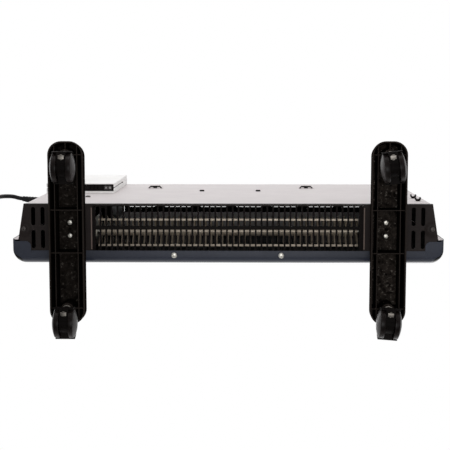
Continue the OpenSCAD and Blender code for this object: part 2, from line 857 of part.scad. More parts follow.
module element_body() {
    strip = 1.5 * fin_t;
    color(element_col)
    difference() {
        translate([0, element_y, element_z]) {
            for (k = [0:fin_count - 1])
                translate([-fins_half + k * fin_pitch, 0, 0])
                    rotate([90, 0, 90]) linear_extrude(fin_t) fin_plan();
            rotate([0, 90, 0]) cylinder(h = 2 * fins_half, r = hub_r, center = true);
            for (s = [-1, 1])
                translate([0, s * (element_leg - strip / 2), strip / 2 - element_leg])
                    cube([2 * fins_half, strip, strip], center = true);
        }
        translate([0, element_y, element_z])
            rotate([0, 90, 0]) cylinder(h = 2 * fins_half + 2, r = rod_d / 2 + run_gap, center = true);
    }
}

module element_rod() {
    half = fins_half + rod_out;
    color(steel_col)
    translate([0, element_y, element_z])
        rotate([0, 90, 0]) {
            cylinder(h = 2 * half, d = rod_d, center = true);
            for (s = [-1, 1]) translate([0, 0, s * (half + 5)]) cylinder(h = 10, d = 3, center = true);
        }
}

// One bush: a sleeve in the bracket with a flange on its inner side
module element_bush(s) {
    translate([s * bracket_x, element_y, element_z])
        rotate([0, s * 90, 0])
            difference() {
                union() {
                    translate([0, 0, -bush_flange]) cylinder(h = bush_flange, r = bush_r + 2);
                    cylinder(h = bracket_t + 2, r = bush_r);
                }
                translate([0, 0, -10]) cylinder(h = 20, r = rod_d / 2 + run_gap);
            }
}

module element_bushes() {
    color(white_col)
    for (s = [-1, 1]) element_bush(s);
}

// Upright plate that stands on the bottom plate and holds the rod
module element_bracket(s, top) {
    foot = 12;
    color(steel_col)
    difference() {
        union() {
            translate([s > 0 ? bracket_x : -bracket_x - bracket_t, element_y - bracket_w / 2, plate_top])
                cube([bracket_t, bracket_w, top - plate_top]);
            translate([s > 0 ? bracket_x : -bracket_x - foot, element_y - bracket_w / 2, plate_top])
                cube([foot, bracket_w, bracket_t]);
        }
        translate([s * bracket_x, element_y, element_z])
            rotate([0, 90, 0]) cylinder(h = 10, r = bush_r + run_gap, center = true);
        if (s > 0)
            translate([bracket_x, element_y, limiter_z])
                rotate([0, 90, 0]) cylinder(h = 10, d = limiter_d - 4 + 2 * run_gap, center = true);
    }
}

module bracket_left() {
    element_bracket(-1, element_z + bracket_above);
}

module bracket_right() {
    element_bracket(1, bracket_top);
}

// Disc thermostat that cuts the element off: its nose goes through the bracket
module limit_thermostat() {
    color(steel_col)
    translate([bracket_x + bracket_t, element_y, limiter_z])
        rotate([0, 90, 0]) {
            cylinder(h = limiter_l, d = limiter_d);
            translate([0, 0, -bracket_t - 2]) cylinder(h = bracket_t + 2, d = limiter_d - 4);
            for (s = [-1, 1])
                translate([s * 4 - 0.4, -3, limiter_l]) cube([0.8, 6, 8]);
        }
}

term_x = foot_x + 9.5;
term_y = body_d - 25.2;
term_w = 22;
term_l = 16;
term_h = 14;

module terminal_block() {
    color(white_col)
    difference() {
        translate([term_x, term_y - term_l / 2, plate_top]) cube([term_w, term_l, term_h]);
        for (k = [-1, 0, 1])
            translate([term_x + term_w / 2, term_y + k * 5, plate_top + term_h - 3]) cylinder(h = 5, d = 3.4);
        for (k = [-1, 0, 1])
            for (x = [term_x - 1, term_x + term_w - 5])
                translate([x, term_y + k * 5, plate_top + 7])
                    rotate([0, 90, 0]) cylinder(h = 6, d = wire_d + 2 * gap);
    }
}

wire_d = 2.6;
rod_tip_x = fins_half + rod_out + 10;

// Routes of the wires inside the body: from the cord to the block, to the switches and to the rod
limiter_tag_x = bracket_x + bracket_t + limiter_l + 8.2;
wire_thermo_z = ctl_roof - thermo_h - gap - 0.2;
wire_in_y = ctl_mid_y + 3.4;
wire_out_y = ctl_mid_y - 4.6;
wire_rise = 40;
wire_bend = 30;
wire_routes = [
    [
        [wall_x - 5.4, cord_y - 0.9, cord_z],
        [wall_x - 14, cord_y - 4, cord_z - 3],
        [wall_x - 23, cord_y - 10, cord_z - 13],
        [wall_x - 27, term_y + 4, cord_z - 35],
        [wall_x - 29, term_y + 1, 60],
        [wall_x - 30, term_y, 26],
        [wall_x - 34, term_y, 12],
        [term_x + term_w - 4.8, term_y, plate_top + 7]
    ],
    [
        [term_x + 4.8, term_y - 5, plate_top + 7],
        [term_x - 6, term_y - 5, 9],
        [term_x - 11, term_y - 4, 20],
        [term_x - 13, term_y + 4, 60],
        [term_x - 13, term_y + 8, ctl_z - 70],
        [term_x - 13, term_y + 6, ctl_z - 10],
        [knob_px + 10, wire_in_y, ctl_z + wire_rise],
        [knob_px + 10, wire_in_y, wire_thermo_z - wire_bend],
        [knob_px + 10, wire_in_y, wire_thermo_z - 6],
        [knob_px + 10, wire_in_y, wire_thermo_z]
    ],
    [
        [term_x + 4.8, term_y + 5, plate_top + 7],
        [term_x - 7, term_y + 6, 10],
        [term_x - 11, term_y + 10, 20],
        [term_x - 10, term_y + 13, 60],
        [term_x - 4, term_y + 14, ctl_z - 80],
        [term_x, term_y + 10, ctl_z - 20],
        [term_x + 2, term_y + 8, ctl_z + wire_rise],
        [heat_px - 4, term_y + 6, body_h - heat_h - 60],
        [heat_px - 1, wire_in_y, body_h - heat_h - 8],
        [heat_px - 1, wire_in_y, body_h - heat_h - 0.4]
    ],
    [
        [rod_tip_x + 0.2, element_y, element_z],
        [rod_tip_x + 6, element_y + 0.4, element_z + 1],
        [rod_tip_x + 5.5, element_y + 1.4, element_z + 7],
        [rod_tip_x + 3.5, element_y + 1.4, element_z + 19],
        [rod_tip_x - 2.5, element_y + 0.4, element_z + 27],
        [limiter_tag_x, element_y, limiter_z - 4]
    ],
    [
        [limiter_tag_x, element_y, limiter_z + 4],
        [rod_tip_x - 1.5, element_y + 1.4, limiter_z + 5],
        [rod_tip_x + 2.5, element_y + 4.4, limiter_z + 19],
        [rod_tip_x + 5.5, element_y + 8.4, ctl_z - 40],
        [rod_tip_x + 7.5, element_y + 12.4, ctl_z],
        [rod_tip_x + 9.5, wire_out_y, ctl_z + wire_rise],
        [knob_px, wire_out_y, wire_thermo_z - wire_bend],
        [knob_px - 6, wire_out_y, wire_thermo_z - 6],
        [knob_px - 6, wire_out_y, wire_thermo_z]
    ]
];

module internal_wires() {
    color("#c8c4b8")
    for (w = wire_routes) tube(curve(w, 3), wire_d / 2, 6, [0.2, 1, 0.1]);
}

module control_frame() {
    color(casing_col)
    difference() {
        translate([ctl_x0, body_d, ctl_z]) cube([ctl_w, ctl_frame_d, body_h - ctl_z]);
        translate([ctl_open_x0, body_d - 1, ctl_open_z])
            cube([ctl_open_x1 - ctl_open_x0, ctl_frame_d + 2, body_h]);
        translate([ctl_skin_x0 - gap, body_d + ctl_frame_low, ctl_z - 1])
            cube([ctl_skin_x1 - ctl_skin_x0 + 2 * gap, ctl_frame_d, body_h]);
    }
}

module control_housing() {
    inner_x0 = ctl_open_x0 + gap;
    inner_x1 = ctl_open_x1 - gap;
    color(plastic_col)
    difference() {
        union() {
            translate([inner_x0, ctl_in, ctl_open_z + gap])
                cube([inner_x1 - inner_x0, ctl_step_y - ctl_in, ctl_roof - ctl_open_z - gap]);
            translate([ctl_skin_x0, ctl_step_y, ctl_step_z])
                cube([ctl_skin_x1 - ctl_skin_x0, ctl_back_y - ctl_step_y, ctl_roof - ctl_step_z]);
            translate([unit_screw_x - unit_tab_w / 2, body_d - sheet - gap - 2.4, unit_screw_z - 8])
                cube([unit_tab_w, 2.4, ctl_open_z + 2 - unit_screw_z + 8]);
            translate([ctl_x0 - 0.6, body_d + ctl_frame_d + 0.1, ctl_seam_z - 12])
                cube([ctl_wall + 2, ctl_seam - 0.2, 11]);
        }
        translate([inner_x0 + ctl_wall, ctl_in + ctl_wall, ctl_open_z + gap + ctl_wall])
            cube([inner_x1 - inner_x0 - 2 * ctl_wall, ctl_step_y - ctl_in - 2 * ctl_wall, body_h]);
        translate([inner_x0 + ctl_wall, ctl_mid_y, ctl_step_z + power_h + 6])
            cube([inner_x1 - inner_x0 - 2 * ctl_wall, ctl_back_y - ctl_wall - ctl_mid_y, body_h]);
        translate([unit_screw_x, body_d, unit_screw_z])
            rotate([90, 0, 0]) cylinder(h = 20, d = screw_d + 2 * run_gap, center = true);
        translate([power_px - power_w / 2 - gap, power_py - power_l / 2 - gap, ctl_z - 1])
            cube([power_w + 2 * gap, power_l + 2 * gap, power_h + 4]);
        for (k = [0, 1, 2])
            translate([ctl_x0 + 27 + 6 * k, ctl_step_y + 1.2, ctl_z - 1])
                cube([2, ctl_back_y - ctl_step_y - 2.4, 6]);
        translate([inner_x0 + 12, ctl_in + 6, ctl_open_z - 1])
            cube([wire_way, wire_way_d, 2 * ctl_wall]);
    }
}

module control_cover() {
    y0 = body_d + ctl_frame_d + ctl_seam;
    color(casing_col)
    difference() {
        union() {
            translate([ctl_x0, y0, ctl_z]) cube([ctl_w, ctl_y1 - y0, body_h - ctl_z]);
            translate([ctl_x0, y0 - ctl_seam + gap, ctl_seam_z]) cube([ctl_w, ctl_seam, body_h - ctl_seam_z]);
        }
        translate([ctl_x0 + ctl_wall, body_d, ctl_z - 1])
            cube([ctl_w - 2 * ctl_wall, ctl_y1 - body_d - ctl_wall, body_h]);
    }
}

module control_panel() {
    inner_x0 = ctl_open_x0 + gap;
    inner_x1 = ctl_open_x1 - gap;
    color(plastic_col)
    difference() {
        union() {
            translate([inner_x0, ctl_in, ctl_roof])
                cube([inner_x1 - inner_x0, ctl_step_y - ctl_in, ctl_panel_t]);
            translate([ctl_skin_x0, ctl_step_y, ctl_roof])
                cube([ctl_skin_x1 - ctl_skin_x0, ctl_back_y - ctl_step_y, ctl_panel_t]);
        }
        translate([knob_px, ctl_mid_y, ctl_roof - 1])
            cylinder(h = ctl_panel_t + 2, d = bushing_d + 2 * run_gap);
        translate([lamp_px, ctl_mid_y, ctl_roof - 1]) cylinder(h = ctl_panel_t + 2, d = lamp_d + 2 * run_gap);
        translate([heat_px - heat_w / 2 - gap, ctl_mid_y - heat_l / 2 - gap, ctl_roof - 1])
            cube([heat_w + 2 * gap, heat_l + 2 * gap, ctl_panel_t + 2]);
    }
}

module thermostat() {
    color(white_col)
    translate([knob_px, ctl_mid_y, 0])
        difference() {
            union() {
                translate([-thermo_w / 2, -thermo_w / 2, ctl_roof - thermo_h - gap])
                    cube([thermo_w, thermo_w, thermo_h]);
                translate([0, 0, ctl_roof - gap]) cylinder(h = ctl_panel_t + gap, d = bushing_d);
            }
            translate([0, 0, ctl_roof - thermo_h + 6]) cylinder(h = 60, d = shaft_d + 2 * run_gap);
        }
}

module thermostat_shaft() {
    color(steel_col)
    translate([knob_px, ctl_mid_y, ctl_roof - thermo_h + 6.2])
        cylinder(h = body_h + knob_lift + knob_h - 4 - ctl_roof + thermo_h - 6.2, d = shaft_d);
}

module thermostat_knob() {
    grips = 24;
    grip_r = knob_d / 2 - 2.5;
    color("#2a2a2b")
    translate([knob_px, ctl_mid_y, body_h + knob_lift])
        difference() {
            union() {
                cylinder(h = 3, r = knob_d / 2);
                translate([0, 0, 2]) cylinder(h = knob_h - 2, r = grip_r);
            }
            translate([0, 0, -1]) cylinder(h = knob_h - 3, r = shaft_d / 2 + 0.01);
            for (k = [0:grips - 1])
                rotate(360 * (k + 0.5) / grips)
                    translate([grip_r - 0.8, -0.8, 4]) cube([4, 1.6, knob_h]);
            translate([-0.6, grip_r * 0.4, knob_h - 0.8]) cube([1.2, grip_r * 0.5, 2]);
        }
}

// Open box that holds a rocker; the mouth is at z = 0 and the rocker's pin lies along x
module switch_shell(w, l, h) {
    difference() {
        translate([-w / 2, -l / 2, -h]) cube([w, l, h]);
        translate([-w / 2 + switch_wall, -l / 2 + switch_wall, -6])
            cube([w - 2 * switch_wall, l - 2 * switch_wall, 10]);
        translate([0, 0, -2.2]) rotate([0, 90, 0])
            cylinder(h = w + 2, r = rocker_pin_r + run_gap, center = true);
    }
}

// Rocker in a shell of the same size: the pin and a paddle with two sloping faces
module rocker(w, l) {
    half = l / 2 - switch_wall - rocker_gap;
    body = w / 2 - switch_wall - 0.3;
    translate([0, 0, -2.2]) {
        rotate([0, 90, 0]) cylinder(h = w - 0.4, r = rocker_pin_r, center = true);
        rotate([90, 0, 90])
            translate([0, 0, -body])
                linear_extrude(2 * body)
                    polygon([
                        [-half * 0.7, -1.6], [half * 0.7, -1.6], [half, 1.4], [half, 3.6],
                        [0, 2.6], [-half, 3.6], [-half, 1.4]
                    ]);
    }
}

module heat_switch_body() {
    color(plastic_col)
    translate([heat_px, ctl_mid_y, body_h]) {
        switch_shell(heat_w, heat_l, heat_h);
        difference() {
            translate([-heat_w / 2 - 1.5, -heat_l / 2 - 1.5, 0]) cube([heat_w + 3, heat_l + 3, switch_lip]);
            translate([-heat_w / 2 + switch_wall, -heat_l / 2 + switch_wall, -1])
                cube([heat_w - 2 * switch_wall, heat_l - 2 * switch_wall, 10]);
        }
    }
}

module heat_rocker() {
    color("#3b3b3c")
    translate([heat_px, ctl_mid_y, body_h - 2.2])
        rotate([rocker_tilt, 0, 0])
            translate([0, 0, 2.2]) rocker(heat_w, heat_l);
}

module power_switch_body() {
    color(plastic_col)
    translate([power_px, power_py, ctl_z]) rotate([180, 0, 90]) switch_shell(power_l, power_w, power_h);
}

module power_rocker() {
    color(white_col)
    translate([power_px, power_py, ctl_z + 2.2])
        rotate([180, 0, 90])
            rotate([rocker_tilt, 0, 0])
                translate([0, 0, 2.2]) rocker(power_l, power_w);
}

module lamp_lens() {
    color("#c23a1e")
    translate([lamp_px, ctl_mid_y, 0]) {
        translate([0, 0, ctl_roof - 12]) cylinder(h = 12 + ctl_panel_t, d = lamp_d);
        translate([0, 0, body_h]) cylinder(h = 1.4, d1 = lamp_d, d2 = lamp_d - 2);
    }
}

clip_x = rear_half - 13;
clip_z = [67, 116];
clip_peg_d = 4;
clip_w = 9;
clip_l = 8;

// Open clips for the cord, each with a peg through the rear panel
module cord_clips() {
    color(plastic_col)
    for (z = clip_z)
        translate([-clip_x, body_d, z]) {
            difference() {
                translate([-clip_w / 2, 0, -clip_l / 2]) cube([clip_w, 9, clip_l]);
                translate([0, 2 + cord_r - 0.4, -clip_l]) cylinder(h = 2 * clip_l, r = cord_r - 0.2);
                translate([-cord_r * 0.75, 2 + cord_r - 0.4, -clip_l]) cube([cord_r * 1.5, 20, 2 * clip_l]);
            }
            rotate([90, 0, 0]) cylinder(h = sheet + 3, d = clip_peg_d);
        }
}

// Screws of the front flange and of the feet
module zinc_screws() {
    color(steel_col)
    for (s = [-1, 1]) {
        translate([s * flange_screw_x, flange_screw_y, 0]) pan_screw();
        for (k = [-1, 1])
            translate([s * foot_x, foot_screw_y + k * foot_screw_pitch / 2, foot_floor]) pan_screw();
    }
}

module plate_screws() {
    color(steel_col)
    for (s = [-1, 1]) translate([s * plate_screw_x, plate_screw_y, plate_z]) pan_screw(plate_head_d);
}

module unit_screw() {
    color("#2a2827")
    translate([unit_screw_x, body_d, unit_screw_z]) rotate([90, 0, 0]) pan_screw();
}

// Outline of a foot between two levels, drawn in by inset; the ends lean out towards the top
module foot_block(inset, z0, z1) {
    r = foot_corner_r - inset;
    hull() {
        for (sx = [-1, 1])
            for (sy = [-1, 1])
                for (lv = [0, 1]) {
                    half_w = foot_w / 2 - foot_draft * lv - inset - r;
                    half_l = foot_l / 2 + foot_prow * lv - inset - r;
                    translate([sx * half_w, sy * half_l, lv == 0 ? z0 : z1 - 0.01])
                        cylinder(h = 0.01, r = r, $fn = 40);
                }
    }
}

module foot() {
    screws_mid = foot_screw_y - foot_y;
    rib_end = 40;
    difference() {
        union() {
            difference() {
                foot_block(0, rim_z, 0);
                foot_block(foot_wall, rim_z - 0.01, foot_floor);
            }
            intersection() {
                foot_block(foot_wall / 2, rim_z, foot_floor + 0.1);
                union() {
                    for (s = [-1, 1])
                        translate([s * foot_rib_x - foot_rib / 2, -foot_l, rib_low])
                            cube([foot_rib, 2 * foot_l, foot_floor - rib_low + 0.05]);
                    for (s = [-1, 1])
                        translate([-foot_w, screws_mid + s * foot_bay / 2 - foot_rib / 2, rib_low])
                            cube([2 * foot_w, foot_rib, foot_floor - rib_low + 0.05]);
                    for (s = [-1, 1])
                        translate([-foot_w, stem_back + s * stem_y + rib_behind - foot_rib / 2, rib_low])
                            cube([2 * foot_w, foot_rib, foot_floor - rib_low + 0.05]);
                    for (s = [-1, 1])
                        translate([-foot_rib / 2, stem_back + s * stem_y - (s > 0 ? 0 : rib_end), rib_low])
                            cube([foot_rib, rib_end, foot_floor - rib_low + 0.05]);
                }
            }
            for (s = [-1, 1])
                translate([0, stem_back + s * stem_y, rim_z]) cylinder(h = foot_h - 0.5, r = boss_r);
            translate([0, screws_mid, foot_floor - 5]) cylinder(h = 6, d = 3.6);
            translate([-foot_w * 0.4, foot_pad_front - foot_y, -1])
                cube([foot_w * 0.8, foot_pad_rear - foot_pad_front, 1 + plate_z]);
        }
        for (s = [-1, 1])
            translate([0, stem_back + s * stem_y, rim_z - 1])
                cylinder(h = stem_in + 2, r = stem_d / 2 + run_gap);
        for (k = [-1, 1])
            translate([0, screws_mid + k * foot_screw_pitch / 2, foot_floor - 10])
                cylinder(h = 30, d = screw_d + 2 * run_gap);
    }
}

module foot_left() {
    color(plastic_col)
    translate([-foot_x, foot_y, 0]) foot();
}

module foot_right() {
    color(plastic_col)
    translate([foot_x, foot_y, 0]) foot();
}

// A castor is drawn with its stem on the z axis, its wheels towards -y and the floor at z = 0
module castor_at(k) {
    translate([castor_place[k][0], castor_place[k][1] - y_mid, 0])
        rotate(castor_place[k][2])
            children();
}

// Side view of a castor, as x = along the heading and y = up, swept across the width w
module castor_slab(w) {
    translate([-w / 2, 0, 0]) rotate([90, 0, 90]) linear_extrude(w) children();
}

module castor_body() {
    hood_in = wheel_r + hood_gap;
    color(plastic_col)
    difference() {
        union() {
            castor_slab(hood_w) {
                difference() {
                    translate([-trail, wheel_r]) circle(hood_r);
                    translate([-trail, wheel_r]) circle(hood_in);
                    translate([-trail - 2 * hood_r, -hood_r]) square([2 * hood_r, hood_back + hood_r]);
                    translate([-trail - 1, -hood_r]) square([2 * hood_r, wheel_r + hood_r]);
                }
                translate([-trail + hood_in + 0.03, hood_low]) square([hood_t - 0.1, wheel_r - hood_low + 1]);
            }
            castor_slab(web_w) {
                intersection() {
                    translate([-trail, wheel_r]) circle(hood_in + hood_t / 2);
                    translate([-trail - 2 * hood_r, hood_back]) square([4 * hood_r, 2 * hood_r]);
                }
                translate([-trail, wheel_r]) circle(wheel_r * 0.66);
                translate([-trail, web_low]) square([hood_in + hood_t / 2, hood_back - web_low + 0.5]);
            }
            translate([0, 0, wheel_r]) cylinder(h = sleeve_top - wheel_r, d = web_w - 0.6);
        }
        translate([0, 0, -1]) cylinder(h = 2 * rim_h, r = stem_d / 2 + run_gap);
        translate([0, 0, sleeve_top]) cylinder(h = rim_h, r = collar_d / 2 + run_gap);
        translate([-stem_end_w / 2 - run_gap, -stem_end_d / 2 - run_gap, 0])
            cube([stem_end_w + 2 * run_gap, stem_end_d + 2 * run_gap, web_low + 4]);
        translate([0, -trail, wheel_r])
            rotate([0, 90, 0]) cylinder(h = 2 * castor_w, r = axle_d / 2 + run_gap, center = true);
    }
}

module castor_stem() {
    end_z = web_low - 1;
    color(steel_col) {
        translate([0, 0, end_z + 4]) cylinder(h = rim_h + stem_in - end_z - 4, d = stem_d);
        translate([0, 0, sleeve_top]) cylinder(h = collar_h, d = collar_d);
        translate([-stem_end_w / 2, -stem_end_d / 2, end_z]) cube([stem_end_w, stem_end_d, 4.5]);
    }
}

module castor_axle() {
    color(steel_col)
    translate([0, -trail, wheel_r])
        rotate([0, 90, 0]) cylinder(h = 2 * (wheel_in + tread_w), d = axle_d, center = true);
}

// A wheel with a flat tread and a domed outer face; side is the sign of its x
module castor_wheel(side) {
    color("#232121")
    translate([0, -trail, wheel_r])
        rotate([0, side * 90, 0])
            difference() {
                union() {
                    translate([0, 0, wheel_in]) cylinder(h = tread_w, r = wheel_r, $fn = 96);
                    intersection() {
                        translate([0, 0, wheel_in + tread_w + dome_h - dome_r]) sphere(r = dome_r, $fn = 96);
                        translate([0, 0, wheel_in + tread_w - 0.001])
                            cylinder(h = dome_h + 1, r = wheel_r, $fn = 96);
                    }
                }
                translate([0, 0, wheel_in - 1]) cylinder(h = tread_w + 1.6, r = axle_d / 2 + run_gap);
                difference() {
                    translate([0, 0, wheel_in - 1]) cylinder(h = tread_w * 0.6 + 1, r = wheel_r - 3);
                    translate([0, 0, wheel_in - 2]) cylinder(h = tread_w + 2, r = axle_d / 2 + 3);
                }
            }
}

// Tapered and ribbed strain relief, with a neck through the casing wall
module cord_gland() {
    ribs = 5;
    rib = gland_l / (2 * ribs + 1);
    neck = 5;
    color(plastic_col)
    translate([wall_x, cord_y - y_mid, cord_z + ride_h])
        rotate([0, 0, taper_angle])
            rotate([0, 90, 0])
                rotate_extrude()
                    polygon(concat(
                        [[0, -neck], [gland_d / 2 - 1.5, -neck], [gland_d / 2 - 1.5, 0]],
                        [
                            for (k = [0:ribs])
                                let (r = between(gland_d / 2, cord_r + 1, k / ribs))
                                each [[r, 2 * k * rib], [r - 0.2, (2 * k + 1) * rib],
                                    if (k < ribs) [r - 1.2, (2 * k + 1) * rib],
                                    if (k < ribs) [r - 1.3, (2 * k + 2) * rib]]
                        ],
                        [[0, gland_l]]
                    ));
}

module cord_lead() {
    color(plastic_col)
    translate([0, -y_mid, 0]) tube(curve(lead_points, 2), cord_r, 10, [0.05, 1, 0.05]);
}

module cord_coil() {
    color(plastic_col)
    translate([0, -y_mid, 0]) tube(coil_points, cord_r, 6, [0, 0, 1]);
}

module cord_tail() {
    color(plastic_col)
    translate([0, -y_mid, 0]) tube(curve(tail_points, 3), cord_r, 10, [0.05, 0.05, 1]);
}

// Band round all the turns on the coil's right side
module cord_tie() {
    x_out = coil_at[0] + coil_r - coil_pitch * 0.25 + cord_r + 0.1;
    x_in = coil_at[0] + coil_r - coil_pitch * (coil_turns - 0.25) - cord_r - 0.7;
    z_low = cord_floor - cord_r - 0.1;
    z_high = cord_floor + coil_pitch + cord_r + 0.1;
    color("#161616")
    translate([0, coil_at[1] - y_mid + tie_w / 2, 0])
        rotate([90, 0, 0])
            linear_extrude(tie_w)
                difference() {
                    translate([x_in - tie_t, z_low - tie_t])
                        square([x_out - x_in + 2 * tie_t, z_high - z_low + 2 * tie_t]);
                    translate([x_in, z_low]) square([x_out - x_in, z_high - z_low]);
                }
}

// Draws its children with z along the plug, from the cord's end to the pins
module along_plug() {
    translate([plug_at[0], plug_at[1] - y_mid, plug_at[2]]) rotate([90 - plug_tilt, 0, 0]) children();
}

module plug_body() {
    rim = plug_d / 2;
    color(plastic_col)
    along_plug()
        difference() {
            rotate_extrude()
                polygon([
                    [0, -plug_sleeve], [cord_r + 1, -plug_sleeve], [cord_r + 1.6, 0], [plug_tail_r, 0],
                    [plug_tail_r + 1.5, plug_l * 0.3], [rim - 6, plug_l * 0.55],
                    [plug_swell_r, plug_swell_at], [rim, plug_l * 0.78], [rim, plug_l], [0, plug_l]
                ]);
            for (s = [-1, 1]) {
                translate([s * pin_pitch / 2, 0, plug_l - 8]) cylinder(h = 10, r = pin_d / 2 + 0.01);
                translate([-clip_slot / 2, s * rim - 2, plug_l - clip_deep])
                    cube([clip_slot, 4, clip_deep + 1]);
            }
        }
}

module plug_pins() {
    color(steel_col)
    along_plug()
        for (s = [-1, 1])
            translate([s * pin_pitch / 2, 0, plug_l - 8]) {
                cylinder(h = pin_l + 7, d = pin_d);
                translate([0, 0, pin_l + 7]) cylinder(h = 1, d1 = pin_d, d2 = pin_d - 1.6);
            }
}

// Contact strips in the two side slots of the plug
module plug_earth_clips() {
    color("#c9a44a")
    along_plug()
        for (s = [-1, 1])
            translate([-clip_slot / 2 + 0.8, s > 0 ? plug_d / 2 - 2 : -plug_d / 2 + 1.2, plug_l - clip_deep])
                cube([clip_slot - 1.6, 0.8, clip_deep]);
}

place() front_panel();
place() rear_casing();
place() bottom_plate();
place() inlet_grille();
place() outlet_grille();
place() element_body();
place() element_rod();
place() element_bushes();
place() bracket_left();
place() bracket_right();
place() limit_thermostat();
place() terminal_block();
place() internal_wires();
place() control_frame();
place() control_housing();
place() control_cover();
place() control_panel();
place() thermostat();
place() thermostat_shaft();
place() thermostat_knob();
place() heat_switch_body();
place() heat_rocker();
place() power_switch_body();
place() power_rocker();
place() lamp_lens();
place() cord_clips();
place() wall_bushes();
place() zinc_screws();
place() plate_screws();
place() unit_screw();
place() foot_left();
place() foot_right();
castor_at(0) castor_body();  // castor_fl_body
castor_at(0) castor_stem();  // castor_fl_stem
castor_at(0) castor_axle();  // castor_fl_axle
castor_at(0) castor_wheel(1);  // castor_fl_wheel_in
castor_at(0) castor_wheel(-1);  // castor_fl_wheel_out
castor_at(1) castor_body();  // castor_fr_body
castor_at(1) castor_stem();  // castor_fr_stem
castor_at(1) castor_axle();  // castor_fr_axle
castor_at(1) castor_wheel(-1);  // castor_fr_wheel_in
castor_at(1) castor_wheel(1);  // castor_fr_wheel_out
castor_at(2) castor_body();  // castor_rl_body
castor_at(2) castor_stem();  // castor_rl_stem
castor_at(2) castor_axle();  // castor_rl_axle
castor_at(2) castor_wheel(1);  // castor_rl_wheel_in
castor_at(2) castor_wheel(-1);  // castor_rl_wheel_out
castor_at(3) castor_body();  // castor_rr_body
castor_at(3) castor_stem();  // castor_rr_stem
castor_at(3) castor_axle();  // castor_rr_axle
castor_at(3) castor_wheel(-1);  // castor_rr_wheel_in
castor_at(3) castor_wheel(1);  // castor_rr_wheel_out
cord_gland();
cord_lead();
cord_coil();
cord_tail();
cord_tie();
plug_body();
plug_pins();
plug_earth_clips();
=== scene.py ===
import json
import math
import bmesh
import bpy
import numpy as np
from mathutils import Matrix, Vector


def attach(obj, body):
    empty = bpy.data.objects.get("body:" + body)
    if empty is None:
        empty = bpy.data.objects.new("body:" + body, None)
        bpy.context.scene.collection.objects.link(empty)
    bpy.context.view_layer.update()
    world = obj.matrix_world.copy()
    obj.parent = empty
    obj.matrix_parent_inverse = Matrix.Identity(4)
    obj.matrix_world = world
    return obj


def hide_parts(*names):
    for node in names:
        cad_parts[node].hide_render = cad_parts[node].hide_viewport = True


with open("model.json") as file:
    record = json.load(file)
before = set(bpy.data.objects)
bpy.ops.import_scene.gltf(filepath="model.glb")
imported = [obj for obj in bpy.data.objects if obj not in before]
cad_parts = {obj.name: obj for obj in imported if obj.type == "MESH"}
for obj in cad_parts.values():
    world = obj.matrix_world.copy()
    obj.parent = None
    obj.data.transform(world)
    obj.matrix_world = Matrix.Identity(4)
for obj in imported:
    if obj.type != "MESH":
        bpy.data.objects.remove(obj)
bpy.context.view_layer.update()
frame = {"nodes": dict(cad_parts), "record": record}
mm = 0.001
bodyMid, bodyLift = 40.2, 84.0  # the heater's body in the row frame: its front face and its underside, in mm
print("frame loaded with", len(frame["nodes"]), "nodes")


# ---- shapes

def toRow(points):
    # from millimetres on the heater's body to metres in the row frame
    return (np.asarray(points, float) + (0, -bodyMid, bodyLift)) * mm


def unit(v):
    v = np.asarray(v, float)
    return v / np.linalg.norm(v, axis=-1, keepdims=True)


def gridFaces(rows, cols, wrapRows=False, wrapCols=False):
    # every cell of a grid of points, as the numbers of its four corners
    r = np.arange(rows if wrapRows else rows - 1)[:, None]
    c = np.arange(cols if wrapCols else cols - 1)[None, :]
    below, right = (r + 1) % rows, (c + 1) % cols
    cells = [r * cols + c, below * cols + c, below * cols + right, r * cols + right]
    return np.stack(cells, -1).reshape(-1, 4)


def surface(points, wrapRows=False, wrapCols=False, capFirst=False, capLast=False):
    # rows x cols x 3 points as one skin; a cap closes the first or last row with one face
    rows, cols = points.shape[:2]
    faces = gridFaces(rows, cols, wrapRows, wrapCols).tolist()
    if capFirst:
        faces.append(list(range(cols))[::-1])
    if capLast:
        faces.append(list(range((rows - 1) * cols, rows * cols)))
    return points.reshape(-1, 3), faces


def walled(outer, inner):
    # a closed wall between two grids of the same size: both skins, joined along all four borders
    rows, cols = outer.shape[:2]
    number = np.arange(rows * cols).reshape(rows, cols)
    border = np.concatenate([number[0, :-1], number[:-1, -1], number[-1, :0:-1], number[:0:-1, 0]])
    after = np.roll(border, -1)
    skin = gridFaces(rows, cols)
    far = rows * cols
    rim = np.stack([border, border + far, after + far, after], -1)
    faces = np.concatenate([skin, skin[:, ::-1] + far, rim])
    return np.concatenate([outer.reshape(-1, 3), inner.reshape(-1, 3)]), faces.tolist()


def closed(points):
    # rings of points as a skin with both ends closed
    return surface(points, wrapCols=True, capFirst=True, capLast=True)


def lathe(profile, at, axis, turns=48, hollow=False):
    # every (radius, height) of the profile carried once round the axis; a hollow one ends where it begins
    profile = np.asarray(profile, float)
    axis = unit(axis)
    side = unit(np.cross(axis, (0.31, 0.22, 0.93) if abs(axis[2]) < 0.8 else (1, 0, 0)))
    angle = np.linspace(0, 2 * np.pi, turns, endpoint=False)[:, None]
    spoke = np.cos(angle) * side + np.sin(angle) * np.cross(axis, side)
    points = np.asarray(at) + profile[:, 1, None, None] * axis + profile[:, 0, None, None] * spoke
    return surface(points, hollow, True, not hollow and profile[0, 0] > 0, not hollow and profile[-1, 0] > 0)


def roundRect(width, length, radius, steps):
    # a rectangle's outline with a quarter circle at each corner
    turn = np.radians(90 * np.arange(4)[:, None] + np.linspace(0, 90, steps + 1))
    x = np.array([1, -1, -1, 1])[:, None] * (width / 2 - radius) + radius * np.cos(turn)
    y = np.array([1, 1, -1, -1])[:, None] * (length / 2 - radius) + radius * np.sin(turn)
    return np.stack([x, y], -1).reshape(-1, 2)


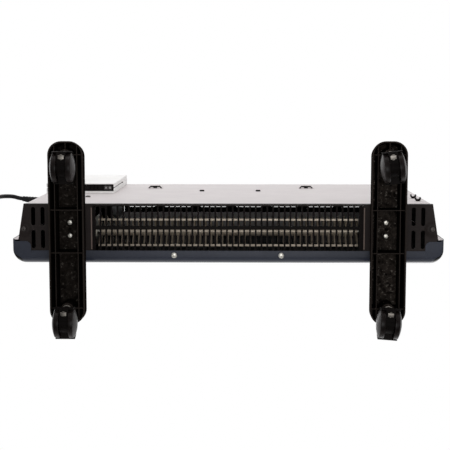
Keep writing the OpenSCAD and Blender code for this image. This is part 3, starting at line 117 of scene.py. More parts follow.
def stacked(outlines, heights):
    # outlines laid over each other at the given heights, closed at both ends
    outlines = np.asarray(outlines)
    level = np.broadcast_to(np.reshape(heights, (-1, 1, 1)), (*outlines.shape[:2], 1))
    return closed(np.concatenate([outlines, level], -1))


def block(low, high, soft, steps=3):
    # a box between two corners whose edges are quarter circles of radius soft
    low, high = np.asarray(low, float), np.asarray(high, float)
    size, middle = high - low, (low + high) / 2
    turn = np.radians(np.linspace(0, 90, steps + 1))
    inset, rise = soft * (1 - np.sin(turn)), soft * (1 - np.cos(turn))
    outlines = [roundRect(size[0] - 2 * i, size[1] - 2 * i, max(soft - i, 0.02), steps) + middle[:2]
                for i in (*inset, *inset[::-1])]
    return stacked(outlines, (*(low[2] + rise), *(high[2] - rise[::-1])))


def tube(path, radius, sides=16):
    # a circle carried along a path, without twist: each ring's sides lean on the ring before
    path = np.asarray(path, float)
    heading = unit(np.gradient(path, axis=0))
    side = unit(np.cross(heading[0], (0.05, 0.1, 1)))
    along = []
    for h in heading:
        side = unit(side - h * side.dot(h))
        along.append(side)
    along = np.array(along)[:, None]
    angle = np.linspace(0, 2 * np.pi, sides, endpoint=False)[:, None]
    spoke = np.cos(angle) * along + np.sin(angle) * np.cross(heading[:, None], along)
    return closed(path[:, None] + radius * spoke)


def placed(part, shift=(0, 0, 0), turn=0):
    # a part in millimetres, turned by some degrees about the upright axis and shifted, to row metres
    c, s = math.cos(math.radians(turn)), math.sin(math.radians(turn))
    return toRow(part[0] @ np.array([[c, s, 0], [-s, c, 0], [0, 0, 1]]) + shift), part[1]


def addPiece(name, parts, slot, body="heater", stands=(), sharp=32, look=None):
    # joins the parts, all in row metres, into one closed mesh with its faces outwards
    corners, faces, start = [], [], 0
    for partCorners, partFaces in parts:
        corners.append(partCorners)
        faces += [[k + start for k in face] for face in partFaces]
        start += len(partCorners)
    mesh = bpy.data.meshes.new(name)
    mesh.from_pydata(np.concatenate(corners).tolist(), [], faces)
    shape = bmesh.new()
    shape.from_mesh(mesh)
    bmesh.ops.remove_doubles(shape, verts=shape.verts, dist=1e-6)
    bmesh.ops.recalc_face_normals(shape, faces=shape.faces)
    shape.to_mesh(mesh)
    shape.free()
    return finished(name, mesh, slot, body, stands, sharp, look)


def finished(name, mesh, slot, body, stands, sharp, look):
    # the mesh as a piece that wears its slot's finish, or a look of its own
    mesh.materials.clear()
    mesh.materials.append(look or finish[slot])
    mesh.polygons.foreach_set("use_smooth", np.ones(len(mesh.polygons), bool))
    mesh.set_sharp_from_angle(angle=math.radians(sharp))
    piece = bpy.data.objects.new(name, mesh)
    bpy.context.scene.collection.objects.link(piece)
    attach(piece, body)
    if stands:
        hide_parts(*stands)
    return piece


def softened(name, node, width, slot, body="heater", look=None):
    # the node's own shape as a merged copy with every sharp edge rounded off
    mesh = frame["nodes"][node].data.copy()
    mesh.name = name
    shape = bmesh.new()
    shape.from_mesh(mesh)
    bmesh.ops.remove_doubles(shape, verts=shape.verts, dist=2e-6)
    bmesh.ops.dissolve_limit(shape, angle_limit=math.radians(0.4), verts=shape.verts, edges=shape.edges)
    shape.to_mesh(mesh)
    shape.free()
    piece = finished(name, mesh, slot, body, [node], 32, look)
    bevel = piece.modifiers.new("roundedEdges", "BEVEL")
    bevel.width, bevel.segments = width * mm, 2
    bevel.limit_method, bevel.angle_limit = "ANGLE", math.radians(38)
    bevel.harden_normals = True
    return piece


# ---- finishes

def tint(red, green, blue):
    # a colour as seen on a screen, 0 to 255, as the linear light that Blender mixes
    seen = np.array([red, green, blue]) / 255
    return tuple(float(v) for v in np.where(seen > 0.04045, ((seen + 0.055) / 1.055) ** 2.4, seen / 12.92))


class Link:
    # an output socket that joins in sums as a number does
    def __init__(self, paint, socket):
        self.paint, self.socket = paint, socket

    def __add__(self, other):
        return self.paint.calc("ADD", self, other)

    def __radd__(self, other):
        return self.paint.calc("ADD", other, self)

    def __sub__(self, other):
        return self.paint.calc("SUBTRACT", self, other)

    def __rsub__(self, other):
        return self.paint.calc("SUBTRACT", other, self)

    def __mul__(self, other):
        return self.paint.calc("MULTIPLY", self, other)

    def __rmul__(self, other):
        return self.paint.calc("MULTIPLY", other, self)

    def __truediv__(self, other):
        return self.paint.calc("DIVIDE", self, other)

    def __rtruediv__(self, other):
        return self.paint.calc("DIVIDE", other, self)

    def __pow__(self, other):
        return self.paint.calc("POWER", self, other)

    def __gt__(self, other):
        return self.paint.calc("GREATER_THAN", self, other)

    def __lt__(self, other):
        return self.paint.calc("LESS_THAN", self, other)

    def __abs__(self):
        return self.paint.calc("ABSOLUTE", self, 0.0)

    def limited(self):
        return self.paint.calc("ADD", self, 0.0, clamp=True)


class Paint:
    # one material and the nodes that make it
    def __init__(self, name, **fixed):
        self.material = bpy.data.materials.new(name)
        self.material.use_nodes = True
        self.tree = self.material.node_tree
        self.shader = self.tree.nodes["Principled BSDF"]
        self.put(self.shader, fixed)

    def put(self, node, sockets):
        for key, value in sockets.items():
            socket = node.inputs[key.replace("_", " ") if isinstance(key, str) else key]
            if isinstance(value, Link):
                self.tree.links.new(value.socket, socket)
            elif isinstance(value, tuple) and len(socket.default_value) == 4:
                socket.default_value = (*value[:3], 1)
            else:
                socket.default_value = value

    def node(self, kind, settings, sockets, out=0):
        made = self.tree.nodes.new(kind)
        for key, value in settings.items():
            setattr(made, key, value)
        self.put(made, sockets)
        return Link(self, made.outputs[out])

    def calc(self, operation, first, second, clamp=False):
        settings = {"operation": operation, "use_clamp": clamp}
        return self.node("ShaderNodeMath", settings, {0: first, 1: second})

    def mixed(self, share, first, second):
        return self.node("ShaderNodeMix", {"data_type": "RGBA"}, {0: share, 6: first, 7: second}, out=2)

    def coords(self):
        return self.node("ShaderNodeTexCoord", {}, {}, out=3)

    def noise(self, size, detail=2.0, stretch=(1, 1, 1), rough=0.5):
        # clouds whose lumps are about size millimetres
        where = self.coords()
        if stretch != (1, 1, 1):
            where = self.node("ShaderNodeMapping", {}, {"Vector": where, "Scale": stretch})
        sockets = {"Vector": where, "Scale": 1 / (size * mm), "Detail": detail, "Roughness": rough}
        return self.node("ShaderNodeTexNoise", {}, sockets)

    def cells(self, size, feature="F1", spread=1.0):
        sockets = {"Vector": self.coords(), "Scale": 1 / (size * mm), "Randomness": spread}
        return self.node("ShaderNodeTexVoronoi", {"feature": feature}, sockets)

    def eased(self, value, low, high, first=0.0, last=1.0):
        # goes softly from first to last while the value goes from low to high
        sockets = {0: value, 1: low, 2: high, 3: first, 4: last}
        return self.node("ShaderNodeMapRange", {"interpolation_type": "SMOOTHSTEP"}, sockets)

    def part(self, vector, k):
        return self.node("ShaderNodeSeparateXYZ", {}, {"Vector": vector}, out=k)

    def place(self):
        # in mm on the body: how far beside the middle, behind the front face and above the underside
        x, y, z = (self.part(self.coords(), k) for k in range(3))
        return abs(x * 1000), y * 1000 + bodyMid, z * 1000 - bodyLift

    def upward(self):
        # 1 where the surface faces up and -1 where it faces down
        return self.part(self.node("ShaderNodeNewGeometry", {}, {}, out=3), 2)

    def bump(self, relief, depth):
        # depth is how tall a relief of 1 stands, in millimetres
        normal = self.node("ShaderNodeBump", {}, {"Height": relief, "Distance": depth * mm, "Strength": 1.0})
        self.put(self.shader, {"Normal": normal})


class Sky(Paint):
    # the same for the world's nodes
    def __init__(self, world):
        world.use_nodes = True
        self.tree = world.node_tree
        self.shader = self.tree.nodes["Background"]


def sprayed(name, colour, worn, roughness, grain, depth, specular, metallic=0.0):
    # baked paint or moulded plastic: fine grain, slow clouds in the colour, dust in the roughness
    paint = Paint(name, Specular_IOR_Level=specular, Metallic=metallic)
    clouds = paint.noise(38, 3)
    grainy = paint.noise(grain, 2)
    specks = paint.noise(grain * 4.5, 4, rough=0.7)
    paint.base = paint.mixed((clouds * 0.9 + specks * 0.6 - 0.45).limited(), colour, worn)
    paint.rough = roughness + 0.16 * (clouds - 0.5) + 0.12 * (specks - 0.5)
    paint.put(paint.shader, {"Base Color": paint.base, "Roughness": paint.rough})
    paint.relief, paint.depth = grainy + specks * 0.4, depth
    paint.bump(paint.relief, depth)
    return paint


def metal(name, colour, stain, roughness, brushed=(1, 1, 1), scratch=0.3):
    # bare metal: fine drawn lines or grain in the roughness and faint stains in the colour
    paint = Paint(name, Metallic=1.0)
    lines = paint.noise(scratch, 3, brushed, 0.6)
    clouds = paint.noise(9, 3)
    paint.base = paint.mixed((clouds * 1.3 - 0.35).limited(), colour, stain)
    rough = roughness + 0.22 * (lines - 0.5) + 0.1 * (clouds - 0.5)
    paint.put(paint.shader, {"Base Color": paint.base, "Roughness": rough})
    paint.bump(lines, 0.02)
    return paint


paints = {  # each finish's own colours; the roughness is 0 for a mirror and 1 for chalk
    "panel_paint": sprayed("bluegreyPaint", tint(43, 47, 59), tint(36, 40, 51), 0.4, 0.7, 0.016, 0.25),
    "casing_paint": sprayed("warmWhitePaint", tint(217, 211, 210), tint(207, 201, 201), 0.6, 0.7, 0.014, 0.06),
    "plate_paint": sprayed("umberPaint", tint(40, 34, 32), tint(30, 25, 24), 0.5, 0.6, 0.02, 0.1),
    "grille_plastic": sprayed("grillePlastic", tint(17, 14, 13), tint(25, 21, 20), 0.6, 0.4, 0.02, 0.05),
    "black_plastic": sprayed("blackPlastic", tint(19, 16, 15), tint(28, 24, 23), 0.55, 0.35, 0.025, 0.05),
    "wheel_plastic": sprayed("wheelPlastic", tint(30, 25, 24), tint(42, 36, 34), 0.4, 0.3, 0.008, 0.16),
    "knob_plastic": sprayed("knobPlastic", tint(42, 42, 44), tint(50, 50, 52), 0.38, 0.35, 0.012, 0.3),
    "pale_plastic": sprayed("palePlastic", tint(244, 243, 241), tint(236, 234, 231), 0.55, 0.5, 0.01, 0.1),
    "ceramic": sprayed("ceramic", tint(226, 221, 209), tint(206, 200, 186), 0.55, 0.5, 0.03, 0.3),
    "wire_jacket": sprayed("wireJacket", tint(206, 200, 186), tint(190, 184, 170), 0.5, 0.5, 0.01, 0.3),
    "cord_jacket": sprayed("cordJacket", tint(24, 22, 23), tint(33, 31, 32), 0.5, 0.5, 0.012, 0.12),
    "zinc": metal("zinc", tint(214, 212, 205), tint(188, 184, 172), 0.3),
    "black_steel": sprayed("blackSteel", tint(70, 66, 64), tint(104, 99, 96), 0.3, 0.3, 0.01, 0.3, 0.8),
    "element_alloy": metal("elementAlloy", tint(192, 180, 163), tint(150, 136, 118), 0.38, (1, 8, 8), 0.5),
    "brass": metal("brass", tint(205, 170, 92), tint(176, 138, 66), 0.3),
    "pin_nickel": metal("pinNickel", tint(210, 206, 198), tint(188, 182, 172), 0.22, (8, 1, 8)),
}


# the places below also say where painted shade and painted highlights go
masks = {  # where a finish changes, in millimetres on the body
    "footFloor": -5.5, "footTop": -1.5, "footRim": -35.0,
    "casingFront": 36.5, "casingRear": 86.7, "casingTop": 398.7,
    "sideAt": 310.5, "sideFrom": 35.0, "sideSlope": 0.1628,
    "pocketX": 131.0, "pocketReach": 100.3, "pocketDeep": (87.25, 92.1), "pocketHigh": (305.6, 316.5),
    "panelHalf": 320.0, "panelHigh": 400.0, "panelEdge": 10.0, "panelSide": 20.0,
    "halfSheet": 0.5, "edgeHigh": 9.0,
    "hubY": 41.6, "hubHalf": 6.2, "legTips": 17.4,
    "beadX": 201.8, "beadHalf": 1.4, "beadTop": 0.6,
    "screwX": 302.0, "screwY": 51.4, "dish": (5.0, 14.0), "dishDeep": 2.5,
}


def lensGlass():
    # amber red lens: a fine facet pattern under a clear coat
    paint = Paint("amberLens", Specular_IOR_Level=0.6, Transmission_Weight=0.35, Coat_Weight=0.6)
    ribs = paint.cells(1.4, "F1", 0.0)
    paint.put(paint.shader, {
        "Base Color": paint.mixed((ribs * 0.8).limited(), tint(205, 66, 30), tint(140, 26, 14)),
        "Roughness": 0.12 + 0.15 * paint.noise(0.8),
    })
    paint.bump(ribs, 0.12)
    return paint


def hammeredPlastic():
    # the feet: plain fine grain on the walls, lower edges painted paler as a highlight, a deep floor with a mottle
    # that is partly painted sheen and painted glints, less so on the right
    paint, m = Paint("footPlastic", Specular_IOR_Level=0.0), masks
    z = paint.place()[2]
    right = paint.part(paint.coords(), 0) > 0.0
    # the right foot's deep floor gets less of its mottle, painted sheen and painted glints
    deep = ((z - m["footFloor"]) * 0.9).limited() * (z < m["footTop"]) * (1.0 - 0.55 * right)
    pits = paint.cells(3.4, "SMOOTH_F1")
    mottleAndSheen = paint.noise(6, 4, rough=0.65)
    # painted glints: pale flecks on the deep floor
    floorGlints = ((paint.noise(5, 5, rough=0.75) - 0.565) * 7).limited()
    # painted highlight: the faces that look down at the rim are paler
    edges = (z < m["footRim"]) * (paint.upward() < -0.4)
    grain = paint.noise(0.4, 2)
    # the deep floor's pale mottle is partly its hammered texture and partly painted sheen
    share = (deep * (mottleAndSheen * 2.2 - 0.75) + 0.12 * paint.noise(25)).limited()
    dull = paint.mixed(edges, paint.mixed(share, tint(12, 10, 9), tint(66, 59, 54)), tint(46, 41, 38))
    paint.put(paint.shader, {
        "Base Color": paint.mixed(deep * floorGlints, dull, tint(140, 132, 124)),
        "Roughness": 0.55 - deep * (pits * 0.25) + 0.1 * (grain - 0.5),
    })
    paint.bump(deep * (pits * 0.8 + mottleAndSheen * 1.5) + grain * 0.03, 0.7)
    return paint


def coatedInside():
    # the casing's inner side is painted dark as shade: behind the rear panel, under the roof and in the two hook
    # pockets
    paint, m = paints["casing_paint"], masks
    x, y, z = paint.place()
    side = x + (y - m["sideFrom"]) * m["sideSlope"] < m["sideAt"]
    inside = side * (y > m["casingFront"]) * (y < m["casingRear"]) * (z < m["casingTop"])
    pocket = abs(x - m["pocketX"]) + y < m["pocketReach"]
    for along, (low, high) in ((y, m["pocketDeep"]), (z, m["pocketHigh"])):
        pocket = pocket * (along > low) * (along < high)
    # painted shade: the inner side and the two pockets get a near black colour instead of the paint's own
    paint.put(paint.shader, {"Base Color": paint.mixed(inside + pocket, paint.base, tint(15, 13, 12)),
                             "Roughness": (paint.rough + inside).limited()})


def litEdge():
    # the front panel is painted dark inside as shade, within all three rounded corners, and its lower edge has
    # more gloss
    paint, m = paints["panel_paint"], masks
    x, y, z = paint.place()

    def within(radius, *past):
        # past: how far the point lies beyond the corner's middle in each direction
        first, second = (paint.calc("MAXIMUM", v, 0.0) for v in past)
        return (first ** 2.0 + second ** 2.0) ** 0.5 < radius - m["halfSheet"]

    edge, side = m["panelEdge"], m["panelSide"]
    inside = within(edge, edge - y, edge - z) * within(edge, edge - y, z - (m["panelHigh"] - edge))
    inside = inside * within(side, side - y, x - (m["panelHalf"] - side))
    gloss = ((m["edgeHigh"] - y) * 0.15).limited() * ((m["edgeHigh"] - z) * 0.3).limited()
    # painted shade: inside the sheet the panel's colour turns near black
    paint.put(paint.shader, {"Base Color": paint.mixed(inside, paint.base, tint(11, 10, 11)),
                             "Roughness": (paint.rough + inside).limited(), "Coat Weight": gloss})


def castElement():
    # the hub, the leg tips and the lower edges keep the alloy's colour; the rest is painted dark as shade, with
    # small painted glints
    paint, m = paints["element_alloy"], masks
    off = abs(paint.place()[1] - m["hubY"])
    unshaded = ((off < m["hubHalf"]) + (off > m["legTips"]) + (paint.upward() < -0.3)).limited()
    # painted glints: small near white spots
    elementGlints = ((paint.noise(3.0, 3, rough=0.7) - 0.57) * 14).limited()
    # painted shade: a dark brown between the glints
    shadeWithGlints = paint.mixed(elementGlints, tint(40, 35, 31), tint(240, 239, 236))
    paint.put(paint.shader, {"Base Color": paint.mixed(unshaded, shadeWithGlints, paint.base), "Metallic": 0.4})


def pressedPlate():
    # the two beads beside the grille are painted paler as a highlight, and the plate dishes in round its two end
    # screws
    paint, m = paints["plate_paint"], masks
    x, y, z = paint.place()
    # painted highlight: a pale band along each bead
    beadHighlight = (m["beadHalf"] - abs(x - m["beadX"])).limited() * (z < m["beadTop"])
    paint.put(paint.shader, {"Base Color": paint.mixed(beadHighlight, paint.base, tint(118, 104, 97))})
    far = ((x - m["screwX"]) ** 2.0 + (y - m["screwY"]) ** 2.0) ** 0.5
    dish = paint.eased(far, *m["dish"], 1.0, 0.0)
    paint.bump(paint.relief * (paint.depth / m["dishDeep"]) + dish, m["dishDeep"])


paints["lens"] = lensGlass()
coatedInside()
litEdge()
castElement()
pressedPlate()
footPaint = hammeredPlastic().material
rockerPaint = sprayed("rockerPlastic", tint(58, 55, 54), tint(70, 66, 65), 0.4, 0.35, 0.012, 0.25).material
stemSteel = metal("stemSteel", tint(150, 145, 138), tint(96, 92, 88), 0.42).material
finish = {name: paint.material for name, paint in paints.items()}
for row in frame["record"]["subparts"]:  # every node that stays as it is gets its own slot's finish
    node = frame["nodes"].get(row.get("node", row.get("name")))
    for hold in (node.material_slots if node else []):
        hold.material = finish[row["material_slot"]]
print("finishes made:", len(finish) + 3)


# ---- camera, floor and light

view = {"focal": 1147 / 450 * 36, "from": (-28.0, 206.8, -1600.0), "tilt": 6.42, "swing": 1.08, "roll": -0.02}


def turned(x, y, z):
    # turns about the picture's own three axes, in degrees
    x, y, z = (math.radians(v) for v in (x, y, z))
    return Matrix.Rotation(x, 3, "X") @ Matrix.Rotation(y, 3, "Y") @ Matrix.Rotation(z, 3, "Z")


def addCamera():
    # the photo is taken from under the floor, looking up: the picture's right is -X and its top is the rear
    look = turned(view["tilt"], view["swing"], view["roll"]) @ Matrix(((-1, 0, 0), (0, -1, 0), (0, 0, 1)))
    place = Matrix((look[0], -look[1], -look[2])).transposed().to_4x4()
    place.translation = [v * mm for v in view["from"]]
    camera = bpy.data.objects.new("camera", bpy.data.cameras.new("camera"))
    camera.matrix_world = place
    camera.data.sensor_width, camera.data.lens = 36, view["focal"]
    camera.data.clip_end = 20
    bpy.context.scene.collection.objects.link(camera)
    bpy.context.scene.camera = camera


def addFloor():
    # pale from above and faded out far off; not there from below, where the photo looks through it
    side = 3.0
    corners = [(-side, -side, 0), (side, -side, 0), (side, side, 0), (-side, side, 0)]
    mesh = bpy.data.meshes.new("floor")
    mesh.from_pydata(corners, [], [(0, 1, 2, 3)])
    floor = bpy.data.objects.new("floor", mesh)
    bpy.context.scene.collection.objects.link(floor)
    paint = Paint("paleFloor", Roughness=0.8, Specular_IOR_Level=0.2)
    pale = paint.mixed(paint.noise(300, 2), tint(240, 240, 240), tint(236, 236, 237))
    paint.put(paint.shader, {"Base Color": pale})
    behind = paint.node("ShaderNodeNewGeometry", {}, {}, out=6)
    shadow = paint.node("ShaderNodeLightPath", {}, {}, out=1)
    clear = paint.node("ShaderNodeBsdfTransparent", {}, {})
    reach = paint.node("ShaderNodeVectorMath", {"operation": "LENGTH"}, {0: paint.coords()}, out=1)
    gone = (behind + shadow + paint.eased(reach, 0.8, 2.6)).limited()
    sockets = {0: gone, 1: Link(paint, paint.shader.outputs[0]), 2: clear}
    paint.put(paint.tree.nodes["Material Output"], {"Surface": paint.node("ShaderNodeMixShader", {}, sockets)})
    mesh.materials.append(paint.material)


lamps = {  # where each soft lamp stands, what it looks at, its side and its power
    "under": ((-0.12, 0.1, -1.75), (0, 0.03, 0.1), 0.6, 9.0),
    "rear": ((0.3, 2.2, 0.5), (0, 0, 0.3), 1.6, 12.5),
    "front": ((-1.2, -2.0, 1.4), (0, 0, 0.25), 1.6, 14),
    "top": ((0.3, 0.2, 2.4), (0, 0, 0.2), 1.8, 12),
}


def addLight():
    for name, (at, target, side, power) in lamps.items():
        data = bpy.data.lights.new(name, "AREA")
        data.size, data.energy = side, power
        lamp = bpy.data.objects.new(name, data)
        away = np.array(at) - np.array(target)
        lamp.rotation_mode = "QUATERNION"
        lamp.rotation_quaternion = Vector(away).to_track_quat("Z", "Y")
        lamp.location = at
        bpy.context.scene.collection.objects.link(lamp)
    world = bpy.data.worlds.new("studio")
    bpy.context.scene.world = world
    sky = Sky(world)
    seen, gloss, through = (sky.node("ShaderNodeLightPath", {}, {}, out="Is " + kind + " Ray")
                            for kind in ("Camera", "Glossy", "Transmission"))
    shade = sky.mixed((seen + (gloss + through)).limited(), (0.6, 0.6, 0.61), (1.0, 1.0, 1.0))
    sky.put(sky.shader, {"Color": shade})  # white where it is seen or mirrored, greyer as a light
    bpy.context.scene.view_settings.view_transform = "Standard"


addCamera()
addFloor()
addLight()
print("camera, floor and light stand")


# ---- cord

cord = {
    "diameter": 6.5, "outlet": (303.672, 80.0, 219.0), "taper": math.atan2(8.5, 52.2), "glandLong": 26.0,
    "glandWide": 13.0,
    "coilAt": (393.972, 60.0, 4.05), "coilRadius": 46.0, "pitch": 7.0, "turns": 5.5, "rising": 0.5,
    "plug": (354.972, -38.0), "plugTilt": 16.7414, "plugHalf": 9.0, "plugLift": 0.05, "plugNeck": 10.0,
    "lead": ((344.972, 87.8, 216), (353.972, 89.2, 204), (359.972, 90, 186), (361.972, 92, 160),
             (361.972, 95.5, 125), (360.972, 99.5, 90), (359.972, 103, 58), (359.972, 105, 34),
             (363.472, 106, 18), (371.972, 106, 7.6), (380.972, 106, 4.05)),
    "tail": ((367.972, 10.5, 9), (358.472, 1, 6.5), (354.972, -12, 4.8)),
}
cordOut = np.array([math.cos(cord["taper"]), math.sin(cord["taper"]), 0])
cordWall = np.array(cord["outlet"])


def smooth(points, steps):
    # a curve through all the points; each span leans on the points before and after it
    p = np.asarray(points, float)
    before = np.vstack([p[:1], p[:-2]])
    after = np.vstack([p[2:], p[-1:]])
    t = (np.arange(steps) / steps)[None, :, None]
    a, b, c, d = (v[:, None] for v in (before, p[:-1], p[1:], after))
    square, cube = 2 * a - 5 * b + 4 * c - d, 3 * b - a - 3 * c + d
    spans = (2 * b + (c - a) * t + square * t ** 2 + cube * t ** 3) / 2
    return np.vstack([spans.reshape(-1, 3), p[-1:]])


def eased(t):
    t = np.clip(t, 0, 1)
    return t * t * (3 - 2 * t)


def cordRoute(leadSteps, coilSteps, tailSteps):
    # down the side and along the floor, in to the middle of a two layer coil and out again, to the plug
    end = cordWall + cordOut * cord["glandLong"]
    d, centre, radius = cord["diameter"], np.array(cord["coilAt"]), cord["coilRadius"]
    u = np.linspace(0, cord["turns"], round(coilSteps * cord["turns"]) + 1)
    r = radius - cord["pitch"] * np.minimum(u, cord["turns"] - u)
    a = np.radians(90 - 360 * u)
    lift = cord["pitch"] * eased((u - cord["turns"] / 2) / cord["rising"] + 0.5)
    coil = centre + np.stack([r * np.cos(a), r * np.sin(a), lift], -1)
    start = coil[-1] + (-d, 0, 0)
    tilt = math.radians(cord["plugTilt"])
    heading = np.array([0, -math.cos(tilt), math.sin(tilt)])
    plug = np.array([*cord["plug"], cord["plugHalf"] * math.cos(tilt) + cord["plugLift"]])
    neck = plug - heading * cord["plugNeck"]
    lead = smooth([end, end + cordOut * d, *cord["lead"], centre + (-d, radius, 0)], leadSteps)
    tail = smooth([start, start + (-d, 0, 0), *cord["tail"], neck - heading * d, neck], tailSteps)
    return (np.vstack([cordWall, lead, coil, tail]) + (0, -bodyMid, 0)) * mm


def addCord():
    jacket = tube(cordRoute(6, 36, 6), cord["diameter"] / 2 * mm)
    jacket = addPiece("mainsCord", [jacket], "cord_jacket",
                      stands=["cord_lead", "cord_coil", "cord_tail"], sharp=60)
    return jacket, cordRoute(2, 24, 2)


def addGland():
    # the strain relief: rings that grow thinner along it, on a taper, carried round the cord
    rings, long, wide = 5, cord["glandLong"], cord["glandWide"] / 2
    step = long / (2 * rings + 1)
    profile = [(0, -5), (wide - 1.7, -5), (wide - 1.5, -4.8), (wide - 1.5, 0)]
    for k in range(rings + 1):
        r = wide + (cord["diameter"] / 2 + 1 - wide) * k / rings
        at = 2 * k * step
        profile += [(r - 0.15, at), (r, at + 0.3), (r - 0.15, at + step - 0.35), (r - 0.3, at + step)]
        if k < rings:
            profile += [(r - 0.55, at + step + 0.1), (r - 0.65, at + 2 * step - 0.1)]
    profile.append((0, long))
    corners, faces = lathe(profile, cordWall + (0, -bodyMid, 0), cordOut)
    return addPiece("strainRelief", [(corners * mm, faces)], "cord_jacket", stands=["cord_gland"])


cordPiece, cordPath = addCord()
gland = addGland()
tie = softened("coilTie", "cord_tie", 0.2, "cord_jacket")
plugBody = softened("plugBody", "plug_body", 0.5, "black_plastic")


# ---- body

panel = {
    "half": 320.0, "high": 400.0, "deep": 36.0, "sheet": 1.0,
    "sideRadius": 20.0, "edgeRadius": 10.0, "lowerRadius": 3.0,
    "flange": 19.0, "cornerFlange": 33.0, "cornerFrom": 300.0, "cornerBend": 8.0, "step": 292.0,
}


def panelSkin(inset):
    # columns run round the plan from one rear edge over the face to the other; rows run from the lower
    # flange's free edge out to the plan's outline, up over a quarter circle, the face, and back in at the top
    p = panel
    bend = np.radians(np.linspace(0, 90, 13))
    arc = np.radians(np.linspace(0, 90, 7))[1:]
    dense = np.array([.997, .994, .991, .988, .985, .982, .979, .976, .97, .96, .94, .9, .8, .65, .5, .3, .1])

    def outline(front, half):
        wide, deep = p["sideRadius"] - inset, p["sideRadius"] - front
        x = np.concatenate([np.full(5, half), half - wide + wide * np.cos(bend), dense * (half - wide)])
        y = np.concatenate([np.linspace(p["deep"], p["sideRadius"], 6)[:-1], p["sideRadius"] - deep * np.sin(bend),
                            np.full(len(dense), front)])
        return x, y

    # the lower flange's free edge: deep at the ends, then a bend and a step out to the shallow middle
    low, corner, turn = p["flange"], p["cornerFlange"], p["cornerBend"]
    freeX = np.concatenate([
        np.linspace(p["half"] - 3.2, p["half"] - 5, 5), np.linspace(p["half"] - 5.5, p["cornerFrom"], 13),
        p["cornerFrom"] - turn * np.sin(arc), [p["step"], p["step"], p["step"] - 1], dense[9:] * p["cornerFrom"]])
    freeY = np.concatenate([
        np.linspace(p["deep"] - 0.6, corner, 5), np.full(13, corner),
        corner - turn * (1 - np.cos(arc)), [low + 3, low + 0.2, low], np.full(len(dense) - 9, low)])
    rows = []
    radius, side = p["edgeRadius"] - inset, p["lowerRadius"] - inset
    for angle in np.radians(np.linspace(90, 0, 9)):
        back = 1 - math.cos(angle)
        x, y = outline(inset + radius * back, p["half"] - inset - side * back)
        if not rows:
            rows += [(freeX, freeY, inset), ((freeX + x) / 2, (freeY + y) / 2, inset)]
        rows.append((x, y, inset + radius * (1 - math.sin(angle))))
    x, y = rows[-1][:2]
    rows += [(x, y, z) for z in np.linspace(p["edgeRadius"], p["high"] / 2, 5)[1:]]
    points = np.array([np.stack([x, y, np.full(len(x), z)], -1) for x, y, z in rows])
    upper = points[-2::-1] * (1, 1, -1) + (0, 0, p["high"])
    points = np.concatenate([points, upper])
    return np.concatenate([points * (-1, 1, 1), points[:, ::-1]], 1)


addPiece("frontPanel", [placed(walled(panelSkin(0), panelSkin(panel["sheet"])))], "panel_paint",
         stands=["front_panel"], sharp=40)
softSheets = {  # each sheet's or moulding's node, how far its edges are rounded in mm, and its slot
    "rearCasing": ("rear_casing", 0.35, "casing_paint"),
    "bottomPlate": ("bottom_plate", 0.25, "plate_paint"),
    "outletGrille": ("outlet_grille", 0.3, "casing_paint"),
    "inletGrille": ("inlet_grille", 0.2, "grille_plastic"),
    "controlFrame": ("control_frame", 0.8, "pale_plastic"),
    "controlHousing": ("control_housing", 0.35, "black_plastic"),
    "controlCover": ("control_cover", 0.6, "pale_plastic"),
    "controlPanel": ("control_panel", 0.5, "black_plastic"),
    "heatSwitchShell": ("heat_switch_body", 0.3, "black_plastic"),
    "powerSwitchShell": ("power_switch_body", 0.25, "black_plastic"),
    "terminalBlock": ("terminal_block", 0.4, "ceramic"),
    "thermostatBlock": ("thermostat", 0.5, "ceramic"),
    "cutOut": ("limit_thermostat", 0.25, "zinc"),
    "bracketLeft": ("bracket_left", 0.3, "zinc"),
    "bracketRight": ("bracket_right", 0.3, "zinc"),
}
for name, sheet in softSheets.items():
    softened(name, *sheet)
clip = {
    "x": 289.5, "rear": 87.2, "heights": (67, 116), "half": 4.4, "mid": 5.2, "deep": 6.0, "cordAt": 6.0,
    "inner": 3.0, "long": 8.0, "peg": 2.0, "pegIn": 3.8,
}


def cordClip(height):
    # a crescent under the cord, flat where it meets the rear panel, with a peg through the panel
    c = clip
    turn = np.radians(np.linspace(6, -186, 40))
    outer = np.stack([c["half"] * np.cos(turn), np.maximum(c["mid"] + c["deep"] * np.sin(turn), 0)], -1)
    inner = np.stack([c["inner"] * np.cos(turn), c["cordAt"] + c["inner"] * np.sin(turn)], -1)
    rows = []
    for level, share in zip((-1, -0.95, -0.85, 0.85, 0.95, 1), (0.16, 0.05, 0, 0, 0.05, 0.16)):
        outline = np.concatenate([outer + (inner - outer) * share, (inner + (outer - inner) * share)[::-1]])
        rows.append(np.column_stack([outline, np.full(len(outline), level * c["long"] / 2)]))
    at, wide, deep = (-c["x"], c["rear"], height), c["peg"], -c["pegIn"]
    profile = [(0, deep), (wide - 0.3, deep), (wide, deep + 0.3), (wide, 0.2), (0, 0.2)]
    return [placed(closed(np.array(rows)), at), placed(lathe(profile, at, (0, 1, 0), 32))]


bothClips = [part for z in clip["heights"] for part in cordClip(z)]
addPiece("cordClips", bothClips, "black_plastic", stands=["cord_clips"])
print("body made")


# ---- wires

